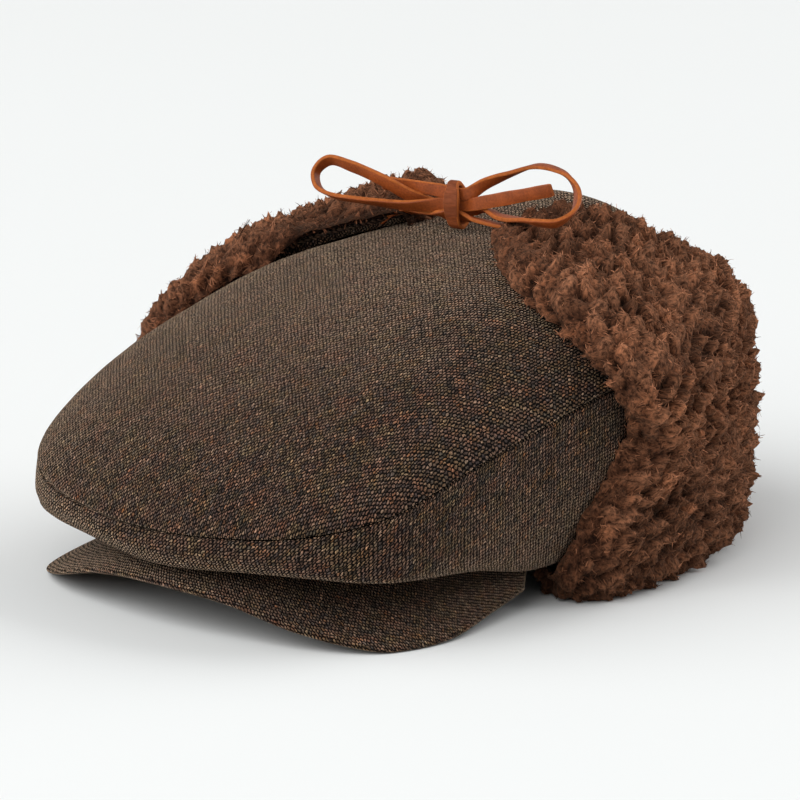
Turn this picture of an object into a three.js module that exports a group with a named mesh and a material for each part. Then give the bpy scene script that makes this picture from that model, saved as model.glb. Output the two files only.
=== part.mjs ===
// Earflap cap: a tweed flat cap with a fleece flap folded up round it and tied over it with a leather lace
// Millimetres, +Z up. The peak points to -Y, the wearer's left is +X, and the cap rests on z = 0.
import * as THREE from "three";

// The tables count y from a point this far in front of the middle of the cap
const MIDDLE_Y = 5.8;

// Cloth, pile and leather
const CLOTH = 2;
const SEWN_GAP = 0.6;
const PILE = 9;
const PILE_GAP = 1;
const LOCK_RISE = { least: 2.4, most: 5.6 };
const LOCK_SINK = 1.5;
const LOCK_LEAN = 3;
// How full the pile is along the flap's edges, from the outermost lock inwards, and at its two tips
const EDGE_PILE = [0.45, 0.85];
const EDGE_OVER = 3.5;
const TIP_PILE = 0.6;
const TIP_LOCKS = 6;
const LACE_WIDTH = 4.8;
const LACE_THICK = 1.7;

// Crown: its highest point, the dent that the knot presses into it, and the oval of the head opening
const APEX = new THREE.Vector3(0, 86, 133);
const DENT = { y: 34, deep: 3.5, halfWidth: 62, halfLength: 42 };
const RIM = { halfWidth: 84, halfLength: 105, middleY: 20 };
const TOP_REACH = 90;
const SIDE_REACH = 60;
const CROWN_COLUMNS = 48;
const TOP_ROWS = 9;
const SIDE_ROWS = 6;

// One row per station from the front centre, round the wearer's left, to the back centre.
// x, y, z: the seam between top panel and side band.
// crest, dome: how the top falls from the apex to that seam.
// bellyIn, tuckIn: how far the side band has moved in from seam to rim at its heights bellyZ and tuckZ.
// turn: the angle round the rim's oval, in degrees from the front. rimZ: the rim's height.
const CROWN = {
  columns: ["x", "y", "z", "crest", "dome", "bellyIn", "bellyZ", "tuckIn", "tuckZ", "turn", "rimZ"],
  mirrored: ["x", "turn"],
  rows: [
    [0, -147, 39, 1.8, 0.77, 0.02, 29, 0.22, 23.5, 0, 34],
    [35, -143.5, 40.5, 1.8, 0.77, 0.02, 31.5, 0.22, 25.2, 14, 33],
    [68, -133, 44.5, 1.8, 0.77, 0.01, 33.5, 0.2, 26.2, 28, 31],
    [91, -110, 52, 1.8, 0.75, -0.02, 34, 0.12, 25, 42, 27],
    [97, -74, 63, 1.7, 0.68, -0.02, 41, 0.15, 23, 56, 22],
    [98, -36, 71.5, 1.45, 0.6, -0.02, 46, 0.3, 17, 70, 16],
    [98.5, 2, 79, 1.3, 0.56, -0.03, 53, 0.4, 22, 84, 11],
    [97, 38, 82.5, 1.25, 0.6, -0.03, 58, 0.4, 27, 98, 9],
    [88.5, 72, 84, 1.4, 0.68, -0.03, 58, 0.4, 27, 113, 9],
    [76, 98.5, 84, 1.7, 0.74, -0.03, 58, 0.4, 27, 129, 9],
    [55, 119, 84, 2, 0.66, -0.03, 58, 0.4, 27, 146, 9],
    [28, 129, 84, 2, 0.57, -0.03, 58, 0.4, 27, 163, 9],
    [0, 132, 84, 2, 0.55, -0.03, 58, 0.4, 27, 180, 9],
  ],
};
const BACK = CROWN.rows.length - 1;

// Peak: one row per station from the front centre to the temple.
// turn: the angle round the rim's oval where it is sewn. x, y, z: its outer edge on the top face.
const PEAK_THICK = 3.4;
const PEAK_EDGE = 2.4;
const PEAK_RISE = 1.5;
const PEAK_COLUMNS = 32;
const PEAK_ROWS = 6;
const PEAK = {
  columns: ["turn", "x", "y", "z"],
  mirrored: ["turn", "x"],
  rows: [
    [0, 0, -142, 18.5],
    [12, 32, -138.5, 16.5],
    [24, 63, -129.5, 8.5],
    [37, 88, -112, 2.6],
    [49, 96, -85, 3],
    [60, 94, -58, 7],
    [69, 90, -34, 11],
  ],
};

// Flap: one row per station from its front edge to the back centre.
// top: where its top edge lies between apex and seam, 0 to 1.
// low, seam, shoulder, crest: how far its outer cloth face stands off the crown there, from the belly up.
const FLAP_COLUMNS = 84;
const FLAP_ROWS = 22;
const FOLD_OUT = 18.5;
const FOLD_UNDER = 11;
const FOLD_Z = 6;
const FOLD_RISE = 9;
const FLAP = {
  columns: ["top", "low", "seam", "shoulder", "crest"],
  mirrored: [],
  rows: [
    [0.19, 6, 12, 8, 6.5],
    [0.2, 5, 6.5, 6.5, 7.5],
    [0.25, 4.6, 4.6, 5.2, 7],
    [0.42, 4.6, 4.2, 4.2, 5],
    [0.57, 4.6, 4.2, 4.2, 4.2],
    [0.62, 4.6, 4.2, 4.2, 4.2],
    [0.64, 4.6, 4.2, 4.2, 4.2],
  ],
};
// The flap's levels over its fold.
// front: how far up its front edge, 0 to 1. rise: how far from the seam to its top.
const FLAP_LEVELS = [
  { front: 0.4, rise: -0.3, stand: "low" },
  { front: 0.55, rise: 0, stand: "seam" },
  { front: 0.7, rise: 0.4, stand: "shoulder" },
  { front: 0.85, rise: 0.75, stand: "crest" },
  { front: 1, rise: 1, stand: "crest" },
];
// The crown stations that the flap's front edges cross, evenly from the fold up to the tip
const FLAP_FRONT = {
  left: [5.55, 5.8, 5.95, 5.95, 5.62, 4.65, 3.1],
  right: [5.4, 5.45, 5.4, 5.35, 5.3, 4.6, 3.1],
};

// Bow: the middle of its knot, and how far it is turned from the wearer's left towards the back, in degrees
const KNOT = new THREE.Vector3(0, 30, 135.5);
const BOW_TURN = 11.5;
const KNOT_HALF_OUT = 3.6;
const KNOT_HALF_UP = 8.6;
const KNOT_POINTS = 20;
const LACE_STEP = 4;

// One row per bend of a lace, from its flap's tip to its cut end, counted from the knot's middle.
// along: to the wearer's left. out: to the front.
// lean: how far the lace's width tips from upright to the front.
// swing: how far its width turns from there to the wearer's left. Angles in degrees.
const LACES = {
  columns: ["along", "out", "up", "lean", "swing"],
  left: [
    [36, 10, -11.6, 90, 0],
    [26, 8.3, -9.6, 90, 0],
    [18, 3.5, -8.9, 90, 0],
    [12.5, -1.4, -8.1, 80, 0],
    [8.5, -2.8, -6.6, 35, 0],
    [5, -1.3, -5.4, 0, 0],
    [-5, -1.3, -5.4, 0, 0],
    [-9.5, -2.4, -3.8, 5, 0],
    [-14.5, -2.5, -1.4, 10, 0],
    [-21.9, 0.5, 2, 15, 0],
    [-28.6, 3.2, 5.9, 20, 0],
    [-38.7, 3, 9.3, 20, 0],
    [-47.3, 2.5, 11.6, 25, 0],
    [-59.8, 1, 13.4, 45, 0],
    [-65.7, 2, 8.1, 66, 0],
    [-63, 5, 2.8, 66, 0],
    [-53.6, 8.5, 0.4, 66, 0],
    [-35.2, 9, -0.6, 60, 0],
    [-18.4, 5, -1.5, 40, 0],
    [-10.7, 2.5, -0.9, 15, 0],
    [-5, 0, 0, 0, 0],
    [5, 0, 0, 0, 0],
    [8.7, 1, 1.2, 0, 0],
    [26.1, 3.6, 6, 5, 0],
    [45.2, 5, 11.1, 10, 0],
  ],
  right: [
    [-36, -4.3, -11.4, 90, 0],
    [-27, -2.5, -9.5, 90, 0],
    [-18, -0.5, -9.2, 90, 0],
    [-12, 1, -8.7, 80, 0],
    [-8.5, 1.8, -7, 35, 0],
    [-5, 1.3, -5.4, 0, 0],
    [5, 1.3, -5.4, 0, 0],
    [9, 1.9, -4.4, 10, 0],
    [14, 1.5, -3.2, 35, 0],
    [20, 3, -0.4, 70, 0],
    [27, 6.8, 2.1, 90, 0],
    [38, 15.5, 5.2, 80, 0],
    [49, 24, 4.3, 60, 0],
    [58, 24, 2.8, 50, 20],
    [62.5, 18, 6.6, 45, 40],
    [59.1, 8, 10.6, 45, 40],
    [52.1, 0, 14.8, 60, 20],
    [42.7, -6, 16.5, 80, 0],
    [30.4, -9, 16.8, 90, 0],
    [19.9, -7, 12.9, 75, 0],
    [11, -3, 8.8, 30, 0],
    [5, 0, 5.4, 0, 0],
    [-5, 0, 5.4, 0, 0],
    [-13, -1.5, 5.3, 0, 0],
    [-25, -3, 7, 10, 0],
    [-33.5, -3.5, 8.2, 15, 0],
  ],
};

const TWEED = { color: 0x4d3f36, roughness: 0.95 };
const FLEECE = { color: 0x553725, roughness: 1 };
const LEATHER = { color: 0x85492f, roughness: 0.6 };

function spline(before, from, to, after, part) {
  const rise = (to - before) / 2;
  const fall = (after - from) / 2;
  const square = part * part;
  const cube = square * part;
  const start = (2 * cube - 3 * square + 1) * from + (cube - 2 * square + part) * rise;
  return start + (3 * square - 2 * cube) * to + (cube - square) * fall;
}

// A list of values read smoothly between its entries, straight past its ends
function readList(values, place) {
  const last = values.length - 1;
  const base = THREE.MathUtils.clamp(Math.floor(place), 0, last - 1);
  const cell = (index) => {
    if (index < 0) {
      return 2 * values[0] - values[-index];
    }
    return index > last ? 2 * values[last] - values[2 * last - index] : values[index];
  };
  return spline(cell(base - 1), cell(base), cell(base + 1), cell(base + 2), place - base);
}

// A table's row at a place counted in stations. Places below zero are the mirrored side.
function readTable(table, place) {
  const side = place < 0 ? -1 : 1;
  const read = {};
  table.columns.forEach((name, column) => {
    const flips = table.mirrored.includes(name);
    const cells = table.rows.map((row) => row[column]);
    const value = flips ? readList(cells, Math.abs(place)) : readEven(cells, Math.abs(place));
    read[name] = flips ? side * value : value;
  });
  return read;
}

// As readList, but level at both ends, for what is the same on both sides of the middle
function readEven(values, place) {
  const last = values.length - 1;
  const base = THREE.MathUtils.clamp(Math.floor(place), 0, last - 1);
  const cell = (index) => values[index < 0 ? -index : Math.min(index, 2 * last - index)];
  return spline(cell(base - 1), cell(base), cell(base + 1), cell(base + 2), place - base);
}

function readPoints(points, place) {
  return new THREE.Vector3(
    readList(points.map((point) => point.x), place),
    readList(points.map((point) => point.y), place),
    readList(points.map((point) => point.z), place),
  );
}

// Stations run from 0 in front to BACK, and on to 2 * BACK along the mirrored side
function crownRow(place) {
  const turned = THREE.MathUtils.euclideanModulo(place, 2 * BACK);
  return readTable(CROWN, turned > BACK ? turned - 2 * BACK : turned);
}

function rimPoint(turn, z) {
  const angle = THREE.MathUtils.degToRad(turn);
  const y = RIM.middleY - RIM.halfLength * Math.cos(angle);
  return new THREE.Vector3(RIM.halfWidth * Math.sin(angle), y, z);
}

// A point of the crown's outer face: depth 0 to 1 from apex to seam, 1 to 2 from seam to rim
function crownPoint(place, depth) {
  const row = crownRow(place);
  const seam = new THREE.Vector3(row.x, row.y, row.z);
  if (depth <= 1) {
    const share = Math.sin((depth * Math.PI) / 2);
    const fall = (1 - share ** row.crest) ** row.dome;
    const point = new THREE.Vector3().lerpVectors(APEX, seam, share);
    const away = (point.x / DENT.halfWidth) ** 2 + ((point.y - DENT.y) / DENT.halfLength) ** 2;
    return point.setZ(seam.z + (APEX.z - seam.z) * fall - DENT.deep * Math.exp(-away) * fall);
  }
  const rim = rimPoint(row.turn, row.rimZ);
  const belly = new THREE.Vector3().lerpVectors(seam, rim, row.bellyIn).setZ(row.bellyZ);
  const tuck = new THREE.Vector3().lerpVectors(seam, rim, row.tuckIn).setZ(row.tuckZ);
  return readPoints([seam, belly, tuck, rim], (depth - 1) * 3);
}

const STEP = 0.004;
const SEAM_STEP = 0.06;

// The crown's outward direction, rounded over the seam so that both walls meet it squarely
function crownNormal(place, depth) {
  const seam = Math.abs(depth - 1) < SEAM_STEP;
  const middle = seam ? 1 : THREE.MathUtils.clamp(depth, 2 * STEP, 2);
  const reach = seam ? SEAM_STEP : STEP;
  const across = crownPoint(place + STEP, middle).sub(crownPoint(place - STEP, middle));
  const down = crownPoint(place, middle + reach).sub(crownPoint(place, middle - reach));
  return down.cross(across).normalize();
}

function crownOff(place, depth, by) {
  return crownPoint(place, depth).addScaledVector(crownNormal(place, depth), by);
}

// A skin collects the corners and triangles of one closed body
class Skin {
  constructor() {
    this.corners = [];
    this.triangles = [];
  }
  corner(point) {
    this.corners.push(point);
    return this.corners.length - 1;
  }
  grid(columns, rows, pointAt) {
    return Array.from({ length: rows }, (_, row) =>
      Array.from({ length: columns }, (__, column) => this.corner(pointAt(column, row))),
    );
  }
  triangle(a, b, c, turned) {
    if (a !== b && b !== c && c !== a) {
      this.triangles.push(turned ? [a, c, b] : [a, b, c]);
    }
  }
  sheet(grid, closed, turned) {
    for (let row = 0; row + 1 < grid.length; row += 1) {
      const columns = grid[row].length;
      for (let column = 0; column < (closed ? columns : columns - 1); column += 1) {
        const next = (column + 1) % columns;
        this.triangle(grid[row][column], grid[row + 1][column], grid[row + 1][next], turned);
        this.triangle(grid[row][column], grid[row + 1][next], grid[row][next], turned);
      }
    }
  }
  // Joins a fine line of corners to a coarse one with a whole number of fine steps to each of its own
  bridge(fine, coarse, turned) {
    const step = (fine.length - 1) / (coarse.length - 1);
    for (let span = 0; span + 1 < coarse.length; span += 1) {
      const middle = span * step + Math.ceil(step / 2);
      for (let part = span * step; part < (span + 1) * step; part += 1) {
        this.triangle(fine[part], fine[part + 1], coarse[part < middle ? span : span + 1], turned);
      }
      this.triangle(coarse[span + 1], coarse[span], fine[middle], turned);
    }
  }
  // Closes an outer and an inner sheet into one wall along all four edges
  wall(outer, inner) {
    const edge = (grid, end) => grid.map((line) => line.at(end));
    this.sheet(outer, false, false);
    this.sheet(inner, false, true);
    this.bridge(outer[0], inner[0], false);
    this.bridge(outer.at(-1), inner.at(-1), true);
    this.bridge(edge(outer, 0), edge(inner, 0), true);
    this.bridge(edge(outer, -1), edge(inner, -1), false);
  }
  mesh(name, { color, roughness }) {
    const volume = this.triangles.reduce((sum, [a, b, c]) => {
      const normal = new THREE.Vector3().crossVectors(this.corners[b], this.corners[c]);
      return sum + this.corners[a].dot(normal);
    }, 0);
    const order = volume < 0 ? this.triangles.map(([a, b, c]) => [a, c, b]) : this.triangles;
    const places = this.corners.flatMap((point) => point.toArray());
    const geometry = new THREE.BufferGeometry();
    geometry.setAttribute("position", new THREE.Float32BufferAttribute(places, 3));
    geometry.setIndex(order.flat());
    geometry.computeVertexNormals();
    const material = new THREE.MeshStandardMaterial({ color, roughness, metalness: 0 });
    const mesh = new THREE.Mesh(geometry, material);
    mesh.name = name;
    mesh.position.y = -MIDDLE_Y;
    return mesh;
  }
}

function crownPlace(column) {
  return (column * 2 * BACK) / CROWN_COLUMNS;
}

function topPanel() {
  const skin = new Skin();
  const lowest = 1 - SEWN_GAP / TOP_REACH;
  const face = (by) => {
    const middle = skin.corner(crownPoint(0, 0).setZ(crownPoint(0, 0).z - by));
    const rows = skin.grid(CROWN_COLUMNS, TOP_ROWS, (column, row) =>
      crownOff(crownPlace(column), (lowest * (row + 1)) / TOP_ROWS, -by),
    );
    return [Array(CROWN_COLUMNS).fill(middle), ...rows];
  };
  const outer = face(0);
  const inner = face(CLOTH);
  skin.sheet(outer, true, false);
  skin.sheet(inner, true, true);
  skin.sheet([outer.at(-1), inner.at(-1)], true, false);
  return skin.mesh("top_panel", TWEED);
}

function sideBand() {
  const skin = new Skin();
  const highest = 1 + SEWN_GAP / SIDE_REACH;
  const face = (by) =>
    skin.grid(CROWN_COLUMNS, SIDE_ROWS + 1, (column, row) =>
      crownOff(crownPlace(column), THREE.MathUtils.lerp(highest, 2, row / SIDE_ROWS), -by),
    );
  const outer = face(0);
  const inner = face(CLOTH);
  skin.sheet(outer, true, false);
  skin.sheet(inner, true, true);
  skin.sheet([inner[0], outer[0]], true, false);
  skin.sheet([outer.at(-1), inner.at(-1)], true, false);
  return skin.mesh("side_band", TWEED);
}

// The crown's station over a turn of the rim
function stationOfTurn(turn) {
  const turns = CROWN.rows.map((row) => row[CROWN.columns.indexOf("turn")]);
  let low = 0;
  let high = BACK;
  while (high - low > STEP) {
    const middle = (low + high) / 2;
    if (readList(turns, middle) < turn) {
      low = middle;
    } else {
      high = middle;
    }
  }
  return low;
}

// A point of the peak's top face: place in stations, share 0 to 1 from the rim to the outer edge
function peakPoint(place, share) {
  const row = readTable(PEAK, place);
  const rimZ = crownRow(stationOfTurn(Math.abs(row.turn))).rimZ;
  const sewn = rimPoint(row.turn, rimZ - SEWN_GAP - CLOTH / 2);
  const point = sewn.lerp(new THREE.Vector3(row.x, row.y, row.z), share);
  return point.setZ(point.z + PEAK_RISE * 4 * share * (1 - share));
}

function peak() {
  const skin = new Skin();
  const last = PEAK.rows.length - 1;
  const place = (column) => last * ((2 * column) / PEAK_COLUMNS - 1);
  const face = (thick, edge) =>
    skin.grid(PEAK_COLUMNS + 1, PEAK_ROWS + 1, (column, row) => {
      const share = row / PEAK_ROWS;
      const point = peakPoint(place(column), share);
      return point.setZ(Math.max(point.z - THREE.MathUtils.lerp(thick, edge, share ** 3), 0));
    });
  skin.wall(face(0, 0), face(PEAK_THICK, PEAK_EDGE));
  return skin.mesh("peak", TWEED);
}

// The flap's outer cloth face as one line from under the rim, round the fold and up to its top edge.
// along: 0 to 1 from the wearer's left front edge, round the back, to the right one.
function flapLine(along) {
  const half = 1 - Math.abs(1 - 2 * along);
  const row = readTable(FLAP, Math.max(half, 0) * (FLAP.rows.length - 1));
  const edge = along > 0.5 ? FLAP_FRONT.right : FLAP_FRONT.left;
  const station = (up) => THREE.MathUtils.lerp(readList(edge, up * (edge.length - 1)), BACK, half);
  const depth = (rise) => (rise < 0 ? 1 - rise : THREE.MathUtils.lerp(1, row.top, rise));
  const under = crownRow(station(0));
  const rim = rimPoint(under.turn, FOLD_Z);
  const out = new THREE.Vector3(rim.x, rim.y - RIM.middleY, 0).normalize();
  const points = [
    rim.clone().addScaledVector(out, -CLOTH),
    rim.clone().addScaledVector(out, FOLD_UNDER),
    rim.clone().addScaledVector(out, FOLD_OUT).setZ(FOLD_Z + FOLD_RISE),
    ...FLAP_LEVELS.map(({ front, rise, stand }) => crownOff(station(front), depth(rise), row[stand])),
  ];
  return points.map((point) => (along > 0.5 ? point.setX(-point.x) : point));
}

const flapCurves = new Map();

function flapPoint(along, up) {
  const key = Math.round(along * 1e6);
  if (!flapCurves.has(key)) {
    flapCurves.set(key, new THREE.CatmullRomCurve3(flapLine(along)));
  }
  return flapCurves.get(key).getPointAt(up);
}

function flapNormal(along, up) {
  const middle = THREE.MathUtils.clamp(along, STEP, 1 - STEP);
  const height = THREE.MathUtils.clamp(up, STEP, 1 - STEP);
  const across = flapPoint(middle + STEP, height).sub(flapPoint(middle - STEP, height));
  const rise = flapPoint(middle, height + STEP).sub(flapPoint(middle, height - STEP));
  return across.cross(rise).normalize();
}

function flapOff(along, up, by) {
  return flapPoint(along, up).addScaledVector(flapNormal(along, up), by);
}

function earflapCloth() {
  const skin = new Skin();
  const columns = FLAP_COLUMNS / 2;
  const rows = FLAP_ROWS / 2;
  const face = (by) =>
    skin.grid(columns + 1, rows + 1, (column, row) => flapOff(column / columns, row / rows, by));
  skin.wall(face(0), face(-CLOTH));
  return skin.mesh("earflap_cloth", TWEED);
}

// A steady pseudo-random value between 0 and 1 for a lock
function vary(column, row, kind) {
  const wave = Math.sin(column * 12.9898 + row * 78.233 + kind * 37.719) * 43758.5453;
  return wave - Math.floor(wave);
}

// Pile: pointed locks in staggered rows over a backing, thinner at the flap's edges and hanging over them
function earflapFleece() {
  const skin = new Skin();
  const outer = skin.grid(FLAP_COLUMNS + 1, FLAP_ROWS + 1, (column, row) => {
    const along = column / FLAP_COLUMNS;
    const up = row / FLAP_ROWS;
    const fromEdge = Math.min(column, FLAP_COLUMNS - column, FLAP_ROWS - row);
    const fromTip = Math.min(column, FLAP_COLUMNS - column) + FLAP_ROWS - row;
    const thin = THREE.MathUtils.lerp(TIP_PILE, 1, Math.min(fromTip / TIP_LOCKS, 1));
    const tip = row % 2 === 0 && (column + row / 2) % 2 === 0;
    const rise = THREE.MathUtils.lerp(LOCK_RISE.least, LOCK_RISE.most, vary(column, row, 1));
    const swell = tip ? rise : -LOCK_SINK * vary(column, row, 2);
    const point = flapOff(along, up, PILE_GAP + (PILE + swell) * (EDGE_PILE[fromEdge] ?? 1) * thin);
    const sideways = flapPoint(Math.min(along + STEP, 1), up);
    sideways.sub(flapPoint(Math.max(along - STEP, 0), up)).normalize();
    const upwards = flapPoint(along, Math.min(up + STEP, 1));
    upwards.sub(flapPoint(along, Math.max(up - STEP, 0))).normalize();
    if (tip) {
      point.addScaledVector(sideways, LOCK_LEAN * (vary(column, row, 3) - 0.5));
      point.addScaledVector(upwards, -LOCK_LEAN * vary(column, row, 4));
    }
    if (column === 0 || column === FLAP_COLUMNS) {
      point.addScaledVector(sideways, column === 0 ? -EDGE_OVER : EDGE_OVER);
    }
    if (row === FLAP_ROWS) {
      point.addScaledVector(upwards, EDGE_OVER);
    }
    return point.setZ(Math.max(point.z, 0));
  });
  const inner = skin.grid(FLAP_COLUMNS / 2 + 1, FLAP_ROWS / 2 + 1, (column, row) =>
    flapOff((2 * column) / FLAP_COLUMNS, (2 * row) / FLAP_ROWS, PILE_GAP),
  );
  skin.wall(outer, inner);
  return skin.mesh("earflap_fleece", FLEECE);
}

function bowPoint(along, out, up) {
  const turn = THREE.MathUtils.degToRad(BOW_TURN);
  return new THREE.Vector3(
    along * Math.cos(turn) + out * Math.sin(turn),
    along * Math.sin(turn) - out * Math.cos(turn),
    up,
  );
}

// A flat strip of leather swept through the bends of one lace
function lace(name, rows) {
  const skin = new Skin();
  const cells = (column) => rows.map((row) => row[LACES.columns.indexOf(column)]);
  const bends = rows.map(([along, out, up]) => bowPoint(along, out, up).add(KNOT));
  const curve = new THREE.CatmullRomCurve3(bends);
  const steps = Math.round(curve.getLength() / LACE_STEP);
  const rings = Array.from({ length: steps + 1 }, (_, step) => {
    const share = curve.getUtoTmapping(step / steps);
    const place = share * (rows.length - 1);
    const ahead = curve.getTangent(share);
    const lean = THREE.MathUtils.degToRad(readList(cells("lean"), place));
    const swing = THREE.MathUtils.degToRad(readList(cells("swing"), place));
    const flat = Math.cos(swing);
    const wide = bowPoint(Math.sin(swing), flat * Math.sin(lean), flat * Math.cos(lean));
    wide.addScaledVector(ahead, -wide.dot(ahead)).normalize();
    const thick = new THREE.Vector3().crossVectors(ahead, wide);
    const middle = curve.getPoint(share);
    const corners = [[1, 1], [-1, 1], [-1, -1], [1, -1]];
    return corners.map(([across, through]) =>
      skin.corner(
        middle
          .clone()
          .addScaledVector(wide, (across * LACE_WIDTH) / 2)
          .addScaledVector(thick, (through * LACE_THICK) / 2),
      ),
    );
  });
  skin.sheet(rings, true, false);
  [rings[0], rings.at(-1)].forEach((ring, end) => {
    skin.triangle(ring[0], ring[1], ring[2], end === 1);
    skin.triangle(ring[0], ring[2], ring[3], end === 1);
  });
  return skin.mesh(name, LEATHER);
}

// The strip wrapped round the laces where they cross, a rounded oblong seen along the bow
function bowKnot() {
  const skin = new Skin();
  const round = (wave) => Math.sign(wave) * Math.sqrt(Math.abs(wave));
  const loop = (along, thick) =>
    Array.from({ length: KNOT_POINTS }, (_, point) => {
      const angle = (point * 2 * Math.PI) / KNOT_POINTS;
      const out = (KNOT_HALF_OUT + thick) * round(Math.cos(angle));
      const up = (KNOT_HALF_UP + thick) * round(Math.sin(angle));
      return skin.corner(bowPoint(along, out, up).add(KNOT));
    });
  const side = LACE_WIDTH / 2;
  const loops = [loop(-side, 0), loop(-side, LACE_THICK), loop(side, LACE_THICK), loop(side, 0)];
  skin.sheet([...loops, loops[0]], true, false);
  return skin.mesh("bow_knot", LEATHER);
}

const cap = new THREE.Group();
cap.name = "earflap_cap";
cap.add(topPanel(), sideBand(), peak(), earflapCloth(), earflapFleece());
cap.add(lace("lace_left", LACES.left), lace("lace_right", LACES.right), bowKnot());

export default cap;
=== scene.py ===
import math

import bmesh
import bpy
import numpy as np
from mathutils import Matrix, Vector


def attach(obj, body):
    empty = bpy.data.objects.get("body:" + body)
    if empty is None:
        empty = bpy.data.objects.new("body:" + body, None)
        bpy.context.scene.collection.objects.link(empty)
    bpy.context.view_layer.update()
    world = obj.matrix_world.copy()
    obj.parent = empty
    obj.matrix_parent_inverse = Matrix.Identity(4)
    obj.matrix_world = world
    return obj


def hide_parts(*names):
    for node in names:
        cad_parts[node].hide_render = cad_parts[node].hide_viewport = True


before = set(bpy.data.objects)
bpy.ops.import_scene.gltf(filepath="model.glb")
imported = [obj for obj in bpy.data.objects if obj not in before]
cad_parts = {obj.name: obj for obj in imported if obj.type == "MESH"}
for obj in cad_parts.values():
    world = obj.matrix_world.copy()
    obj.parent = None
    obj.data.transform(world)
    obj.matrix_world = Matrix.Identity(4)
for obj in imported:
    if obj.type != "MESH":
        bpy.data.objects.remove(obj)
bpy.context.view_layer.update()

bl_info = {
    "name": "Earflap cap",
    "version": (1, 0, 0),
    "blender": (4, 5, 0),
    "location": "3D View > Sidebar > Cap",
    "description": "Tweed flat cap with a fleece flap folded up and tied in a leather bow",
    "category": "Add Mesh",
}

BODY = "root"
MM = 0.001

# The tables count y in millimetres from a point this far in front of the middle of the cap
MIDDLE_Y = 5.8

# Crown: its highest point, the dent under the knot and the oval of the head opening
APEX = np.array([0, 86, 133.0])
DENT = {"y": 34, "deep": 3.5, "half_width": 62, "half_length": 42}
RIM = {"half_width": 84, "half_length": 105, "middle_y": 20}

# One row per station from the front centre, round the wearer's left, to the back centre.
# x, y, z: the seam under the top panel. crest, dome: how the top falls from the apex to it.
# belly and tuck: how far the side band has moved in from seam to rim, and its heights there.
# turn, rim_z: the angle round the rim in degrees from the front, and the rim's height.
CROWN = {
    "columns": ("x", "y", "z", "crest", "dome", "belly_in", "belly_z", "tuck_in", "tuck_z", "turn", "rim_z"),
    "mirrored": ("x", "turn"),
    "rows": (
        (0, -147, 39, 1.8, 0.77, 0.02, 29, 0.22, 23.5, 0, 34),
        (35, -143.5, 40.5, 1.8, 0.77, 0.02, 31.5, 0.22, 25.2, 14, 33),
        (68, -133, 44.5, 1.8, 0.77, 0.01, 33.5, 0.2, 26.2, 28, 31),
        (91, -110, 52, 1.8, 0.75, -0.02, 34, 0.12, 25, 42, 27),
        (97, -74, 63, 1.7, 0.68, -0.02, 41, 0.15, 23, 56, 22),
        (98, -36, 71.5, 1.45, 0.6, -0.02, 46, 0.3, 17, 70, 16),
        (98.5, 2, 79, 1.3, 0.56, -0.03, 53, 0.4, 22, 84, 11),
        (97, 38, 82.5, 1.25, 0.6, -0.03, 58, 0.4, 27, 98, 9),
        (88.5, 72, 84, 1.4, 0.68, -0.03, 58, 0.4, 27, 113, 9),
        (76, 98.5, 84, 1.7, 0.74, -0.03, 58, 0.4, 27, 129, 9),
        (55, 119, 84, 2, 0.66, -0.03, 58, 0.4, 27, 146, 9),
        (28, 129, 84, 2, 0.57, -0.03, 58, 0.4, 27, 163, 9),
        (0, 132, 84, 2, 0.55, -0.03, 58, 0.4, 27, 180, 9),
    ),
}
BACK = len(CROWN["rows"]) - 1
# Steps for reading the crown's slope, in stations and depths, and the reach in which the seam is rounded
SLOPE_STEP = 0.004
SEAM_REACH = 0.06

# Peak: one row per station from the front centre to the temple.
# turn: the angle round the rim where it is sewn. x, y, z: its outer edge on the top face.
PEAK = {
    "columns": ("turn", "x", "y", "z"),
    "mirrored": ("turn", "x"),
    "rows": (
        (0, 0, -142, 18.5),
        (12, 32, -138.5, 16.5),
        (24, 63, -129.5, 8.5),
        (37, 88, -112, 2.6),
        (49, 96, -85, 3),
        (60, 94, -58, 7),
        (69, 90, -34, 11),
    ),
}
# How far its sewn edge lies under the rim, how far its middle rises, its thickness there and at its edge,
# how far in its far corner has been pushed, at which station, and its least height over the floor
PEAK_SEWN_DROP = 1.6
PEAK_RISE = 1.5
PEAK_THICK = 3.4
PEAK_EDGE = 2.4
PEAK_FAR_PUSH = 2.2
PEAK_FAR_STATION = -3
PEAK_LEAST_Z = 0.05

# Flap: one row per station from its front edge to the back centre.
# top: where its top edge lies between apex and seam. The rest: how far it stands off the crown.
FLAP = {
    "columns": ("top", "low", "seam", "shoulder", "crest"),
    "mirrored": (),
    "rows": (
        (0.19, 6, 12, 8, 5.5),
        (0.2, 5, 6.5, 6.5, 6),
        (0.23, 4.6, 4.6, 5.2, 7),
        (0.36, 4.6, 4.2, 4.2, 5),
        (0.6, 4.6, 4.2, 4.2, 4.2),
        (0.72, 4.6, 4.2, 4.2, 4.2),
        (0.75, 4.6, 4.2, 4.2, 4.2),
    ),
}
# The flap's levels over its fold: how far up its front edge, how far from the seam to its top, its stand
FLAP_LEVELS = (
    (0.4, -0.3, "low"),
    (0.55, 0, "seam"),
    (0.7, 0.4, "shoulder"),
    (0.85, 0.75, "crest"),
    (1, 1, "crest"),
)
# The crown stations that the flap's front edges cross, evenly from the fold up to the tip
FLAP_FRONT = {
    "left": (5.45, 6.25, 6.55, 6.25, 5.9, 4.8, 3.15),
    "right": (5.4, 5.4, 5.3, 5.25, 5.25, 4.6, 3.1),
}
# The flap's fold under the rim: how far in it starts, how far out it lies and stands, and its heights.
# The gap is what its inner face keeps from the crown.
FOLD_IN = 2
FOLD_UNDER = 11
FOLD_OUT = 18.5
FOLD_Z = 6
FOLD_RISE = 9
CLOSE_GAP = 0.9

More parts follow.
